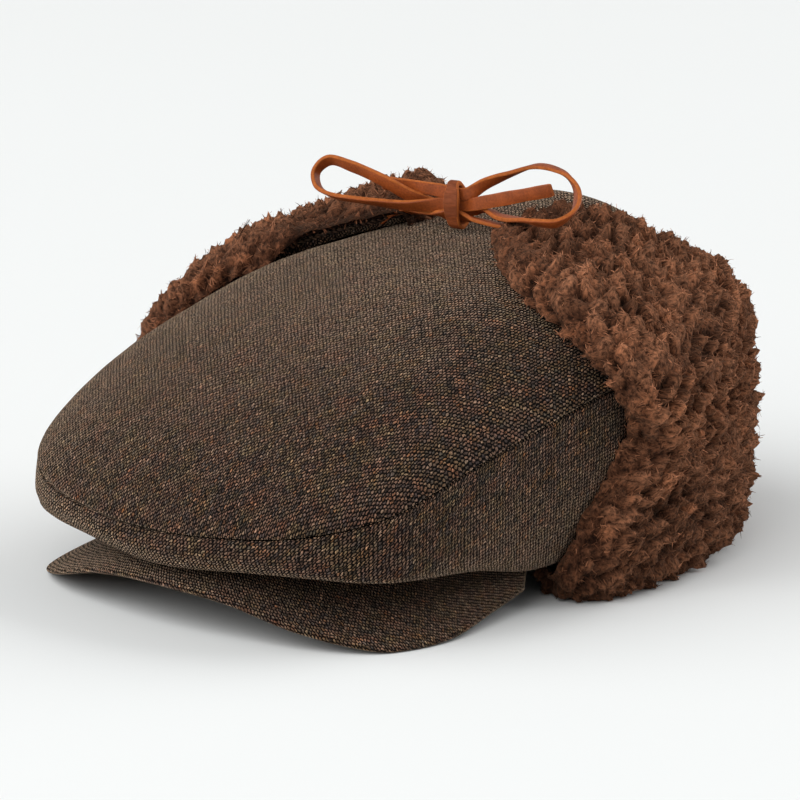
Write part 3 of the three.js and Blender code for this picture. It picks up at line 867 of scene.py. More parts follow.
def fleece_ground():
    """Dense matted pile under the tufts, in the dark root colour, which partly paints the shade under them.
    """
    fleece = bpy.context.scene.cap_fleece
    finish = Finish("fleece_ground")
    felt = finish.noise(finish.uv(), 420.0, 4.0, 0.65)
    root = np.array(fleece.root)
    finish.set(Base_Color=finish.ramp(felt["Fac"], [(0.3, root * 0.6), (0.7, root * 2)]), Roughness=0.95)
    finish.set(Specular_IOR_Level=0.15)
    finish.bump(felt["Fac"], 1.0, 0.0015)
    return finish.material


def leather(name, tint, rough, grain, depth):
    """Leather with a fine grain, pale where it is rubbed."""
    finish = Finish(name)
    place = finish.uv()
    fine = finish.noise(place, grain, 3.0, 0.6)
    broad = finish.noise(place, grain * 0.12, 2.0)
    tint = np.array(tint)
    face = finish.ramp(fine["Fac"], [(0.3, tint * 0.72), (0.55, tint), (0.75, tint * 1.25)])
    worn = finish.ramp(broad["Fac"], [(0.35, (0.78, 0.74, 0.7)), (0.65, (1.12, 1.1, 1.08))])
    finish.set(Base_Color=finish.tinted(face, worn), Specular_IOR_Level=0.28)
    finish.set(Roughness=finish.ramp(fine["Fac"], [(0.3, grey(rough + 0.12)), (0.7, grey(rough - 0.06))]))
    finish.bump(fine["Fac"], 0.5, depth)
    return finish.material


class CAP_OT_stage(bpy.types.Operator):
    """Set out the floor, the light and the camera"""

    bl_idname = "cap.stage"
    bl_label = "Stage"

    def execute(self, context):
        scene = context.scene
        stage = scene.cap_stage
        self.camera(scene)
        floor = self.floor(tuple(stage.floor))
        for name, (size, turn, rise) in LIGHTS.items():
            self.light(name + "_light", getattr(stage, name), size, turn, rise)
        world = bpy.data.worlds.new("studio")
        world.use_nodes = True
        sky = world.node_tree.nodes["Background"]
        sky.inputs["Color"].default_value = (1, 1, 1, 1)
        sky.inputs["Strength"].default_value = stage.sky
        scene.world = world
        scene.view_settings.view_transform = "Standard"
        return {"FINISHED"}

    def camera(self, scene):
        """The camera of the picture's view."""
        camera = bpy.data.objects.new("camera", bpy.data.cameras.new("camera"))
        camera.data.angle = VIEW_FIELD
        camera.data.clip_end = 50
        flat = math.cos(VIEW_RAISE)
        towards = Vector((-math.sin(VIEW_TURN) * flat, math.cos(VIEW_TURN) * flat, -math.sin(VIEW_RAISE)))
        camera.location = VIEW_TARGET - towards * VIEW_DISTANCE
        camera.rotation_euler = towards.to_track_quat("-Z", "Y").to_euler()
        scene.collection.objects.link(camera)
        scene.camera = camera

    def floor(self, tint):
        """A wide pale floor, faintly uneven in colour."""
        finish = Finish("pale_floor")
        cloud = finish.noise(finish.node("ShaderNodeTexCoord").outputs["Object"], 3.0, 2.0)
        tint = np.array(tint)
        finish.set(Base_Color=finish.ramp(cloud["Fac"], [(0.3, tint * 0.995), (0.7, tint)]), Roughness=0.8)
        finish.set(Specular_IOR_Level=0.1)
        work = bmesh.new()
        bmesh.ops.create_grid(work, x_segments=24, y_segments=24, size=FLOOR_HALF)
        mesh = bpy.data.meshes.new("floor")
        work.to_mesh(mesh)
        work.free()
        mesh.materials.append(finish.material)
        floor = bpy.data.objects.new("floor", mesh)
        floor.location.z = -FLOOR_DROP
        bpy.context.scene.collection.objects.link(floor)
        return floor

    def light(self, name, power, size, turn, rise):
        """A round soft light, turned from the front towards the wearer's left and raised, in degrees."""
        turn, rise = math.radians(turn), math.radians(rise)
        towards = Vector((math.sin(turn) * math.cos(rise), -math.cos(turn) * math.cos(rise), math.sin(rise)))
        light = bpy.data.objects.new(name, bpy.data.lights.new(name, "AREA"))
        light.data.shape = "DISK"
        light.data.size = size
        light.data.energy = power
        light.location = towards * LIGHT_DISTANCE
        light.rotation_euler = (-towards).to_track_quat("-Z", "Y").to_euler()
        bpy.context.scene.collection.objects.link(light)


def section(width, thick, rounding, points):
    """A flat strip's rounded section: its points across the strip and through it."""
    corner = min(rounding, thick / 2)
    across = []
    through = []
    for side_x, side_y, start in ((1, 1, 0), (-1, 1, 1), (-1, -1, 2), (1, -1, 3)):
        for step in range(points):
            angle = (start + step / (points - 1)) * math.pi / 2
            across.append(side_x * (width / 2 - corner) + corner * math.cos(angle))
            through.append(side_y * (thick / 2 - corner) + corner * math.sin(angle))
    return np.array(across), np.array(through)


def strip_faces(rings, around, points):
    """Quads of a swept strip, and 1 for those on its cut edges."""
    faces, spots = grid_faces(rings, around, ring_columns=True)
    column = np.tile(np.arange(around), rings - 1)
    edge = column % (2 * points) >= points
    return faces, spots, edge.astype(int)


class CAP_OT_laces(bpy.types.Operator):
    """Make the two laces of the bow"""

    bl_idname = "cap.laces"
    bl_label = "Laces"

    # The rounding of the strip's corners, and the points of each
    CORNER = 0.42
    CORNER_POINTS = 4
    # How much narrower the strip is inside the knot, and how far from the knot's middle that reaches
    SQUEEZE = 0.18
    SQUEEZE_REACH = 7

    def execute(self, context):
        lace = context.scene.cap_lace
        grain = leather("lace_grain", lace.grain, 0.45, 1100.0, 0.00012)
        cut = leather("lace_cut_edge", lace.cut, 0.8, 2600.0, 0.0002)
        for number, name in enumerate(LACES):
            self.lace(name, lace.width / MM, lace.thick / MM, (grain, cut), number)
        return {"FINISHED"}

    def lace(self, name, width, thick, materials, number):
        """One lace: a flat strip swept along its bends, a little uneven and curled across."""
        middles, wide, through, run = lace_rings(name)
        rings = len(middles)
        side, rise = section(width, thick, self.CORNER, self.CORNER_POINTS)
        around = len(side)
        place = np.linspace(0, run, rings)
        uneven = 1 + 0.03 * np.sin(place / 5.1 + number) + 0.02 * np.sin(place / 2.3 + 2 * number)
        from_knot = np.linalg.norm(middles - KNOT, axis=1)
        uneven -= self.SQUEEZE * np.exp(-((from_knot / self.SQUEEZE_REACH) ** 4))
        taper = np.ones(rings)
        taper[[0, -1]] = 0.9
        curl = 0.22 * np.sin(place / 9.0 + number)
        across = side * (uneven * taper)[:, None]
        lift = rise * taper[:, None] + curl[:, None] * ((side / width * 2) ** 2 - 0.4)
        points = middles[:, None] + wide[:, None] * across[..., None] + through[:, None] * lift[..., None]
        faces, spots, edge = strip_faces(rings, around, self.CORNER_POINTS)
        outline = np.stack([side, rise], -1)
        girth = lengths_along(np.concatenate([outline, outline[:1]]))
        uv = np.stack(np.meshgrid(place * MM, girth * MM, indexing="ij"), -1).reshape(-1, 2)
        grid = points.reshape(-1, 3)
        turned = outward(grid, faces)
        spots = spots if turned is faces else spots[:, ::-1]
        piece = make_piece(name + "_strip", grid, turned, uv[spots.ravel()], materials, edge)
        self.close_ends(piece)
        settle(piece, name)

    def close_ends(self, piece):
        """Closes the strip's two ends with flat faces of cut leather."""
        work = bmesh.new()
        work.from_mesh(piece.data)
        edges = [edge for edge in work.edges if edge.is_boundary]
        ends = bmesh.ops.edgeloop_fill(work, edges=edges)["faces"]
        for face in ends:
            face.material_index = 1
            face.smooth = False
        bmesh.ops.recalc_face_normals(work, faces=work.faces)
        work.to_mesh(piece.data)
        work.free()


class CAP_OT_knot(bpy.types.Operator):
    """Make the strip wrapped round the middle of the bow"""

    bl_idname = "cap.knot"
    bl_label = "Knot"

    # Steps round the wrap, the length of its map that way, and the rounding and points of its corners
    RINGS = 96
    LENGTH_ROUND = 44
    CORNER = 0.95
    CORNER_POINTS = 6

    def execute(self, context):
        lace = context.scene.cap_lace
        face = leather("knot_leather", 0.72 * np.array(lace.grain), 0.65, 1500.0, 0.0006)
        cut = leather("knot_cut_edge", 1.1 * np.array(lace.cut), 0.8, 2600.0, 0.0004)
        width = 1.3 * lace.width / MM
        thick = 1.2 * lace.thick / MM
        side, rise = section(width, thick, self.CORNER, self.CORNER_POINTS)
        turns = np.linspace(0, 2 * math.pi, self.RINGS, endpoint=False)
        waves = np.stack([np.cos(turns), np.sin(turns)], -1)
        ring = np.sign(waves) * np.abs(waves) ** 0.93 * (KNOT_HALF_OUT, KNOT_HALF_UP)
        ahead = unit(np.roll(ring, -1, 0) - np.roll(ring, 1, 0))
        away = np.stack([ahead[:, 1], -ahead[:, 0]], -1)
        crease = 0.1 * np.sin(turns * 5 + 1) + 0.06 * np.sin(turns * 11)
        lift = thick / 2 + rise[None] + crease[:, None] * (rise > 0)
        places = ring[:, None] + away[:, None] * lift[..., None]
        narrow = 1 + 0.05 * np.sin(turns * 3) - 0.3 * waves[:, 1] ** 2
        sideways = side[None] * narrow[:, None] + 0.35 * np.sin(turns * 2)[:, None]
        sideways = sideways - 0.11 * places[..., 1]
        grid = bow_point(sideways, places[..., 0], places[..., 1]) + KNOT
        length_round = np.linspace(0, self.LENGTH_ROUND, self.RINGS + 1) * MM
        girth = np.linspace(0, 2 * (width + thick), len(side) + 1) * MM
        uv = np.stack(np.meshgrid(length_round, girth, indexing="ij"), -1)
        piece = make_wall("knot_wrap", grid, uv, (face, cut), True, True)
        along = Vector(bow_point(1, 0, 0))
        for polygon in piece.data.polygons:
            polygon.material_index = abs(polygon.normal.dot(along)) > 0.5
        settle(piece, "bow_knot")
        return {"FINISHED"}


def column_rows(place, low, high, from_low, middle_rows, from_high):
    """Depths down each crown column at set distances from its ends and evenly between, and their lengths."""
    dense = np.linspace(low, high, 500)
    points = crown_point(place[:, None], dense[None])
    run = lengths_along(points, 1)
    depths = []
    lengths = []
    for line in run:
        first = from_low[-1] if len(from_low) else 0
        last = line[-1] - (from_high[0] if len(from_high) else 0)
        between = np.linspace(first, last, middle_rows + 2)[1:-1]
        stops = np.concatenate([from_low, between, line[-1] - np.asarray(from_high)])
        depths.append(np.interp(stops, line, dense))
        lengths.append(stops)
    return np.array(depths).T, np.array(lengths).T


def rotate(uv, degrees):
    """A map turned round its origin."""
    turn = math.radians(degrees)
    x = uv[..., 0] * math.cos(turn) - uv[..., 1] * math.sin(turn)
    y = uv[..., 0] * math.sin(turn) + uv[..., 1] * math.cos(turn)
    return np.stack([x, y], -1)


class CAP_OT_crown(bpy.types.Operator):
    """Make the top panel and the side band of the crown"""

    bl_idname = "cap.crown"
    bl_label = "Crown"

    COLUMNS = 192
    # Rows between the ends of the top and of the side, and how far the weave of each is turned, in degrees
    TOP_ROWS = 52
    SIDE_ROWS = 34
    TOP_WEAVE = -43
    SIDE_WEAVE = 90

    def execute(self, context):
        wall = context.scene.cap_cloth.wall / MM
        place = np.arange(self.COLUMNS) * 2 * BACK / self.COLUMNS
        self.top_panel(place, wall)
        self.side_band(place, wall)
        return {"FINISHED"}

    def top_panel(self, place, wall):
        """The top of the crown, its edge standing a little over the seam."""
        near_seam = (7, 5, 3.5, 2.4, 1.5, 0.7, 0.25)
        overhang = (0.02, 0.04, 0.08, 0.1, 0.06, -0.1, -0.8)
        depths, lengths = column_rows(place, 0, 1, (0,), self.TOP_ROWS, near_seam)
        stand = np.zeros(depths.shape)
        stand[-len(near_seam):] = np.array(overhang)[:, None]
        points = crown_point(place[None], depths)
        normals = crown_normal(place[None], depths)
        normals[0] = (0, 0, 1)
        swell = 0.35 * ripple(points, 55, 3) + 0.12 * ripple(points, 18, 4)
        outer = points + normals * (stand + swell * ease(0, 12, lengths))[..., None]
        inner = points + normals * (np.minimum(stand, 0.2) - wall)[..., None]
        outer[0] = outer[0, :1]
        inner[0] = inner[0, :1]
        grid = np.concatenate([outer, inner[::-1]])
        way = points[-1] - APEX
        turn = np.arctan2(way[:, 1], way[:, 0])
        flat = np.stack([lengths * np.cos(turn), lengths * np.sin(turn)], -1) * MM
        flat = rotate(flat, self.TOP_WEAVE)
        flat = np.concatenate([flat, flat[:, :1]], 1)
        uv = np.concatenate([flat, flat[::-1]])
        piece = make_wall("top_panel_cloth", grid, uv, (tweed(),), False, True)
        settle(piece, "top_panel")

    def side_band(self, place, wall):
        """The side of the crown, its edge tucked in under the seam."""
        near_seam = (0.25, 0.7, 1.4, 2.3, 3.4, 5)
        tucked = (-0.9, -0.25, -0.06, -0.02, 0, 0)
        depths, lengths = column_rows(place, 1, 2, near_seam, self.SIDE_ROWS, (0,))
        stand = np.zeros(depths.shape)
        stand[: len(near_seam)] = np.array(tucked)[:, None]
        points = crown_point(place[None], depths)
        normals = crown_normal(place[None], depths)
        swell = 0.25 * ripple(points, 40, 5) * ease(2, 10, lengths)
        outer = points + normals * (stand + swell)[..., None]
        inner = points + normals * (stand - wall)[..., None]
        grid = np.concatenate([outer, inner[::-1]])
        seam = points[0]
        around = lengths_along(np.concatenate([seam, seam[:1]]))
        down = np.concatenate([lengths, lengths[:, :1]], 1)
        flat = np.stack([np.broadcast_to(around, down.shape), down], -1) * MM
        flat = rotate(flat, self.SIDE_WEAVE)
        uv = np.concatenate([flat, flat[::-1], flat[:1]])
        piece = make_wall("side_band_cloth", grid, uv, (tweed(),), True, True)
        settle(piece, "side_band")


def station_of_turn(turn):
    """The crown stations whose rim lies at angles in degrees from the front."""
    turns = [row[CROWN["columns"].index("turn")] for row in CROWN["rows"]]
    places = np.linspace(0, BACK, 2000)
    return np.interp(turn, read_line(turns, places), places)


class CAP_OT_peak(bpy.types.Operator):
    """Make the stiff cloth-covered peak"""

    bl_idname = "cap.peak"
    bl_label = "Peak"

    COLUMNS = 161
    ROWS = 30

    def execute(self, context):
        last = len(PEAK["rows"]) - 1
        place = last * np.linspace(-1, 1, self.COLUMNS)
        row = read_table(PEAK, place)
        rim_z = crown_row(station_of_turn(np.abs(row["turn"])))["rim_z"]
        sewn = rim_point(row["turn"], rim_z - PEAK_SEWN_DROP)
        pushed = PEAK_FAR_PUSH * np.exp(-((place - PEAK_FAR_STATION) ** 2))
        edge = np.stack([row["x"] + pushed, row["y"], row["z"]], -1)
        share = np.linspace(0, 1, self.ROWS)[:, None]
        top = mix(sewn[None], edge[None], share[..., None])
        top[..., 2] += PEAK_RISE * 4 * share * (1 - share)
        thick = mix(PEAK_THICK, PEAK_EDGE, share**3) + 0 * top[..., 2]
        top[..., 2] += 0.2 * ripple(top, 30, 8)
        low = top.copy()
        low[..., 2] = np.maximum(top[..., 2] - thick, PEAK_LEAST_Z)
        out = unit((edge - sewn) * (1, 1, 0))
        angles = np.linspace(math.pi / 2, -math.pi / 2, 9)[1:-1, None]
        middle = (top[-1] + low[-1]) / 2
        half = (top[-1, :, 2] - low[-1, :, 2]) / 2
        bead = 1 + 0.25 * np.cos(angles)
        rounded = middle[None] + out[None] * (half * np.cos(angles) * bead)[..., None]
        rounded[..., 2] += half * np.sin(angles)
        grid = np.concatenate([top, rounded, low[::-1]])
        pinch_ends(grid)
        around = lengths_along(edge)
        run = lengths_along(np.concatenate([grid, grid[:1]]))
        flat = np.stack(np.broadcast_arrays(around[None], run), -1) * MM
        piece = make_wall("peak_cloth", grid, flat, (tweed(),), True, False)
        settle(piece, "peak")
        return {"FINISHED"}


class CAP_OT_flap(bpy.types.Operator):
    """Make the tweed backing of the folded-up flap"""

    bl_idname = "cap.flap"
    bl_label = "Flap backing"

    COLUMNS = 220
    ROWS = 60
    WEAVE = 45

    def execute(self, context):
        wall = context.scene.cap_cloth.wall / MM
        face = FlapFace(self.COLUMNS, self.ROWS)
        points = np.swapaxes(face.points, 0, 1)
        normals = np.swapaxes(face.normals, 0, 1)
        rise = np.swapaxes(face.rise, 0, 1)
        swell = 0.2 * ripple(points, 35, 9)[..., None]
        outer = points + normals * swell
        inner = points + normals * (swell - wall)
        along = np.linspace(0, 1, self.COLUMNS + 1)
        lining = even_lines(flap_lines(along, close=True), self.ROWS)[0].swapaxes(0, 1)
        behind = ease(1, np.where(along > 0.5, 4, 8), face.from_front.T)
        behind = behind * ease(0.28, 0.4, np.linspace(0, 1, self.ROWS + 1))[:, None]
        inner = mix(inner, lining, behind[..., None])
        hem = points[-1:] - normals[-1:] * wall / 2 + rise[-1:] * 0.9
        foot = points[:1] - normals[:1] * wall / 2
        grid = np.concatenate([foot, outer, hem, inner[::-1]])
        pinch_ends(grid[1:])
        around = lengths_along(points[self.ROWS // 2])
        run = lengths_along(np.concatenate([grid, grid[:1]]))
        flat = np.stack(np.broadcast_arrays(around[None], run), -1) * MM
        piece = make_wall("flap_backing", grid, rotate(flat, self.WEAVE), (tweed(),), True, False)
        settle(piece, "earflap_cloth")
        return {"FINISHED"}


class CAP_OT_fleece(bpy.types.Operator):
    """Make the curly pile on the outside of the flap"""

    bl_idname = "cap.fleece"
    bl_label = "Fleece"

    COLUMNS = 640
    ROWS = 150
    TUFT_PARTS = (("left", 0, 0.34), ("back", 0.34, 0.66), ("right", 0.66, 1))
    FIBRE_PARTS = (
        ("left_front", 0, 0.2),
        ("left_side", 0.2, 0.4),
        ("back", 0.4, 0.6),
        ("right_side", 0.6, 0.8),
        ("right_front", 0.8, 1.01),
    )
    # The pile's gap to the cloth, how far the gaps between tufts sink in it and how far the tufts lean
    PILE_GAP = 1
    SINK = 2
    LEAN = 2.4
    # How much lower the pile is at the back of its top edge and under the bow, and how much higher by the
    # wearer's right tip, how far from the bow it is pressed, and over which height
    BACK_LOWER = 0.45
    BOW_LOWER = 0.55
    TIP_HIGHER = 0.25
    BOW_REACH = 6
    BOW_LEAST_Z = 90
    # Least heights over the floor
    BACKING_LEAST_Z = 0.1
    TUFT_LEAST_Z = 0.15
    FIBRE_LEAST_Z = 0.3
    # Places tried for tufts, and the columns and rows to each side of a tuft's middle that it can reach
    TRIES = 50000
    TUFT_REACH = (12, 8)
    # How much the tufts' sizes, heights and forms differ
    TUFT_SIZES = (0.72, 1.3)
    TUFT_HEIGHTS = (0.65, 1.3)
    TUFT_STRETCH = (0.85, 1.15)
    # How strongly tufts are combed up the flap, to its back and any way
    COMB_UP = 0.8
    COMB_BACK = 0.55
    COMB_LOOSE = 0.3
    # Bends of one fibre. Loose fibres: their lengths, how far they stand up and how much they bend.
    BENDS = 4
    FUZZ_LENGTHS = (1.5, 3.6)
    FUZZ_LIFT = (0.05, 0.38)
    FUZZ_BEND = (0.1, 0.6)
    # The part of the tufts that gets wisps, how far these reach, and how broad they are beside the fuzz
    WISP_PART = 0.55
    WISP_REACH = (0.45, 1.2)
    WISP_BREADTH = 1.6
    # Strips of the fibres' map, one for each shade, and the metres of pile on the tufts' map
    SHADES = 256
    MAP = (0.62, 0.15)

    def execute(self, context):
        fleece = context.scene.cap_fleece
        self.rng = np.random.default_rng(fleece.seed)
        self.face = FlapFace(self.COLUMNS, self.ROWS, fleece.roll / MM)
        self.full = self.fullness()
        self.level = self.PILE_GAP + self.full * fleece.ground_height / MM
        waves = 0.9 * ripple(self.face.points, 17, 41) * self.full
        lift = self.level + waves + self.SINK * self.full
        self.skin = self.face.points + self.face.normals * lift[..., None]
        side, rise = np.gradient(self.skin, axis=(0, 1))
        self.spread = np.linalg.norm(np.cross(side, rise), axis=-1)
        backing = self.ground()
        self.place_tufts(fleece)
        self.raise_tufts(fleece)
        pile = self.tuft_pieces() + self.fibre_pieces(fleece)
        self.face.flat()
        return {"FINISHED"}

    def fullness(self):
        """How deep the pile stands: less at the flap's free edges, at its back and under the bow."""
        edge = np.minimum(self.face.from_front, self.face.from_top)
        half = 1 - np.abs(np.linspace(-1, 1, len(edge)))[:, None]
        back = ease(0.3, 0.6, half) * (1 - ease(0, 45, self.face.from_top))
        right = np.linspace(0, 1, len(edge))[:, None] > 0.5
        front = self.face.from_front
        tips = right * (1 - ease(0, 40, self.face.from_top)) * ease(6, 20, front) * (1 - ease(30, 65, front))
        bow = np.concatenate([lace_rings(name)[0][::6, :2] for name in LACES])
        gap = np.linalg.norm(self.face.points[:, :, None, :2] - bow, axis=-1).min(-1)
        pressed = np.exp(-((gap / self.BOW_REACH) ** 2)) * (self.face.points[..., 2] > self.BOW_LEAST_Z)
        self.low = ease(self.face.THIN, self.face.FULL, self.face.from_top)
        least = np.where(right, mix(0.35, 0.6, self.low), 0.62)
        full = mix(least, 1, ease(0, np.where(right, 17, 12), edge))
        full = full * (1 + self.TIP_HIGHER * tips) * (1 - self.BACK_LOWER * back)
        return full * (1 - self.BOW_LOWER * pressed)

    def settle_pile(self, piece):
        """Puts a piece of the pile on the cap's one body."""
        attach(piece, BODY)
        return piece

    def ground(self):
        """The backing with the matted pile between the tufts, on a coarser grid."""
        columns = slice(None, None, 4)
        rows = slice(None, None, 3)
        points = self.face.points[columns, rows]
        normals = self.face.normals[columns, rows]
        low = points + normals * 0.6
        high = points + normals * np.maximum(self.level[columns, rows] - 1.2, 0.9)[..., None]
        grid = np.swapaxes(np.concatenate([high, low[:, ::-1]], 1), 0, 1)
        grid[..., 2] = np.maximum(grid[..., 2], self.BACKING_LEAST_Z)
        pinch_ends(grid)
        flat = self.map(*points.shape[:2]).swapaxes(0, 1)
        uv = np.concatenate([flat, flat[::-1], flat[:1]])
        piece = make_wall("fleece_backing", grid, uv, (fleece_ground(),), True, False)
        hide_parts("earflap_fleece")
        return self.settle_pile(piece)

    def map(self, columns, rows):
        """Places on the tufts' map for a grid over the whole flap."""
        across, up = (np.linspace(0, most, steps) for most, steps in zip(self.MAP, (columns, rows)))
        return np.stack(np.meshgrid(across, up, indexing="ij"), -1)

    def scatter(self, count):
        """Places spread evenly over the flap, in columns and rows of its grid."""
        weight = self.spread.ravel() / self.spread.sum()
        cells = self.rng.choice(weight.size, size=count, p=weight)
        column, row = np.unravel_index(cells, self.spread.shape)
        column = np.clip(column + self.rng.uniform(-0.5, 0.5, count), 0, self.spread.shape[0] - 1)
        return column, np.clip(row + self.rng.uniform(-0.5, 0.5, count), 0, self.spread.shape[1] - 1)

    def place_tufts(self, fleece):
        """Spreads the tufts over the flap, no nearer to each other than their spacing, and combs them."""
        rng = self.rng
        face = self.face
        column, row = self.scatter(self.TRIES)
        points = face.read(self.skin, column, row)
        kept = self.apart(points, fleece.spacing / MM)
        column = self.column = column[kept]
        row = self.row = row[kept]
        count = len(kept)
        self.spot = points[kept]
        self.out = unit(face.read(face.normals, column, row))
        rise = face.read(face.rise, column, row)
        side = face.read(face.side, column, row)
        to_back = np.where(column < len(face.points) / 2, 1.0, -1.0)[:, None] * side
        swirl = 0.6 * ripple(self.spot, 42, 21)[:, None]
        comb = rise * self.COMB_UP + to_back * (self.COMB_BACK + swirl)
        comb = comb + rng.normal(0, self.COMB_LOOSE, (count, 3))
        self.comb = unit(comb - self.out * (comb * self.out).sum(-1, keepdims=True))
        self.across = np.cross(self.out, self.comb)
        full = face.read(self.full[..., None], column, row)[:, 0]
        size = rng.uniform(*self.TUFT_SIZES, count)
        self.tall = fleece.tuft_height / MM * rng.uniform(*self.TUFT_HEIGHTS, count) * mix(0.3, 1, full)
        edge = face.read(face.from_front[..., None], column, row)[:, 0]
        low = face.read(self.low[..., None], column, row)[:, 0]
        right = column > len(face.points) / 2
        self.tall *= np.where(right, mix(mix(0.3, 0.8, low), 1, ease(1, 7, edge)), 1)
        self.loose = 1 + 0.8 * right * (1 - ease(10, 40, edge))
        self.wide = fleece.tuft_width / MM * size * rng.uniform(*self.TUFT_STRETCH, count)
        self.long = fleece.tuft_length / MM * size * rng.uniform(*self.TUFT_STRETCH, count)
        shade = 0.52 + 0.2 * rng.normal(size=count)
        # Painted shade: tufts lower down, towards the floor, are darker because less light reaches them;
        # otherwise the shade differs at random from tuft to tuft
        shade = shade - 0.38 * (1 - ease(5, 50, self.spot[:, 2]))
        self.shade = np.clip(shade, 0.02, 0.98)

    def apart(self, points, spacing):
        """Numbers of the points kept so that no two are nearer than the spacing."""
        cells = np.floor(points / spacing).astype(int).tolist()
        around = [(i, j, k) for i in (-1, 0, 1) for j in (-1, 0, 1) for k in (-1, 0, 1)]
        taken = {}
        kept = []
        for index, (i, j, k) in enumerate(cells):
            near = [other for a, b, c in around for other in taken.get((i + a, j + b, k + c), ())]
            if near and ((points[near] - points[index]) ** 2).sum(1).min() < spacing * spacing:
                continue
            taken.setdefault((i, j, k), []).append(index)
            kept.append(index)
        return np.array(kept)

    def raise_tufts(self, fleece):
        """The pile's surface: round tufts that lean the way they are combed, with small curls on them."""
        points = self.skin
        rise = np.zeros(points.shape[:2])
        shade = np.full(points.shape[:2], 0.4)
        comb = np.zeros(points.shape)
        wide, high = self.TUFT_REACH
        for index, (column, row) in enumerate(zip(self.column.astype(int), self.row.astype(int))):
            block = slice(max(column - wide, 0), column + wide + 1), slice(max(row - high, 0), row + high + 1)
            step = points[block] - self.spot[index]
            sideways = step @ self.across[index] / self.wide[index]
            ahead = step @ self.comb[index] / self.long[index]
            far = np.hypot(sideways, np.where(ahead > 0, 1.5 * ahead, 0.8 * ahead))
            value = self.tall[index] * (0.7 * np.maximum(1 - far**2, 0) ** 0.6 + 0.3 * np.maximum(1 - far, 0))
            more = value > rise[block]
            rise[block][more] = value[more]
            shade[block][more] = self.shade[index]
            comb[block][more] = self.comb[index]
        tall = fleece.tuft_height / MM
        curls = 0.75 * ripple(points, 3.4, 31) + 0.6 * ripple(points, 2.2, 32)
        curls = curls + 0.42 * self.rng.normal(size=rise.shape)
        height = rise - self.SINK * self.full + curls * self.full * mix(0.5, 1, rise / tall)
        lean = self.LEAN * (rise / tall) ** 1.2
        surface = points + self.face.normals * height[..., None] + comb * lean[..., None]
        surface[..., 2] = np.maximum(surface[..., 2], self.TUFT_LEAST_Z)
        self.surface = surface
        # Each point's tuft shade, which holds the painted shade towards the floor, and its height in the
        # tuft, which the pile's colours turn into painted shade in the gaps
        self.grown = np.stack([shade, np.clip(rise / tall, 0, 1.2)], -1)
        self.way = comb
        soft = surface
        for axis in (0, 1):
            soft = (np.roll(soft, 1, axis) + 2 * soft + np.roll(soft, -1, axis)) / 4
        self.facing = facing(soft)

    def tuft_pieces(self):
        """The tufts' surface in a few pieces round the flap."""
        material = fleece_tuft()
        pieces = []
        columns, rows = self.grown.shape[:2]
        places = self.map(columns, rows)
        for part, low, high in self.TUFT_PARTS:
            span = slice(round(low * (columns - 1)), round(high * (columns - 1)) + 1)
            grid = np.swapaxes(self.surface[span], 0, 1)
            corners = grid_faces(*grid.shape[:2])[0][:, ::-1]
            flat = places[span].swapaxes(0, 1).reshape(-1, 2)
            tuft = self.grown[span].swapaxes(0, 1).reshape(-1, 2)
            maps = {"tuft": tuft[corners.ravel()]}
            name = "fleece_tufts_" + part
            points = grid.reshape(-1, 3)
            piece = make_piece(name, points, corners, flat[corners.ravel()], (material,), more_maps=maps)
            pieces.append(self.settle_pile(piece))
        return pieces

    def fibre_pieces(self, fleece):
        """All loose fibres, in a few pieces round the flap."""
        material = fleece_fibre()
        count = int(fleece.fuzz * self.spread.sum() / 100)
        fuzz = self.fuzz(count)
        wisps = self.wisps(fleece)
        paths, lit, tones, places, breadth = (np.concatenate(pair) for pair in zip(fuzz, wisps))
        breadth = breadth * fleece.fibre / MM
        places = places / len(self.face.points)
        pieces = []
        for part, low, high in self.FIBRE_PARTS:
            inside = (places >= low) & (places < high)
            fibres = (values[inside] for values in (paths, lit, tones, breadth))
            pieces.append(self.settle_pile(self.ribbons("fleece_fibres_" + part, *fibres, material)))
        return pieces

    def fuzz(self, count):
        """Short curled fibres all over the tufts: paths, lit directions, tones, columns and breadths."""
        rng = self.rng
        column, row = self.scatter(count)
        face = self.face
        start = face.read(self.surface, column, row)
        out = unit(face.read(self.facing, column, row))
        grown = face.read(self.grown, column, row)
        loose = rng.normal(size=(count, 3))
        loose = unit(loose - out * (loose * out).sum(-1, keepdims=True))
        way = out * rng.uniform(*self.FUZZ_LIFT, (count, 1)) + loose * 0.75
        way = unit(way + face.read(self.way, column, row) * 0.45)
        bend = unit(np.cross(way, rng.normal(size=(count, 3))))
        long = rng.uniform(*self.FUZZ_LENGTHS, count)[:, None, None]
        steps = np.linspace(0, 1, self.BENDS)[None, :, None]
        path = (start - out * 0.35)[:, None] + way[:, None] * long * steps
        droop = bend[:, None] * rng.uniform(*self.FUZZ_BEND, (count, 1, 1)) - out[:, None] * 0.18
        path = path + droop * long * steps**2
        lit = unit(out[:, None] + 0.35 * way[:, None] * steps + 0.3 * loose[:, None])
        # Painted shade: fibres that grow low in the pile, between the tufts, are dark, and each lightens
        # towards its tip; their shade also carries the painted shade towards the floor
        tone_and_pile_shade = 0.06 + 0.62 * grown[:, 1:] + 0.26 * steps[..., 0]
        tone_and_pile_shade = np.clip(tone_and_pile_shade + 0.14 * rng.normal(size=(count, 1)), 0.02, 0.98)
        shade = np.clip(grown[:, 0] + 0.3 * rng.normal(size=count), 0, 0.999)
        tones = np.stack([np.repeat(shade[:, None], self.BENDS, 1), tone_and_pile_shade], -1)
        return path, lit, tones, column, np.ones(count)

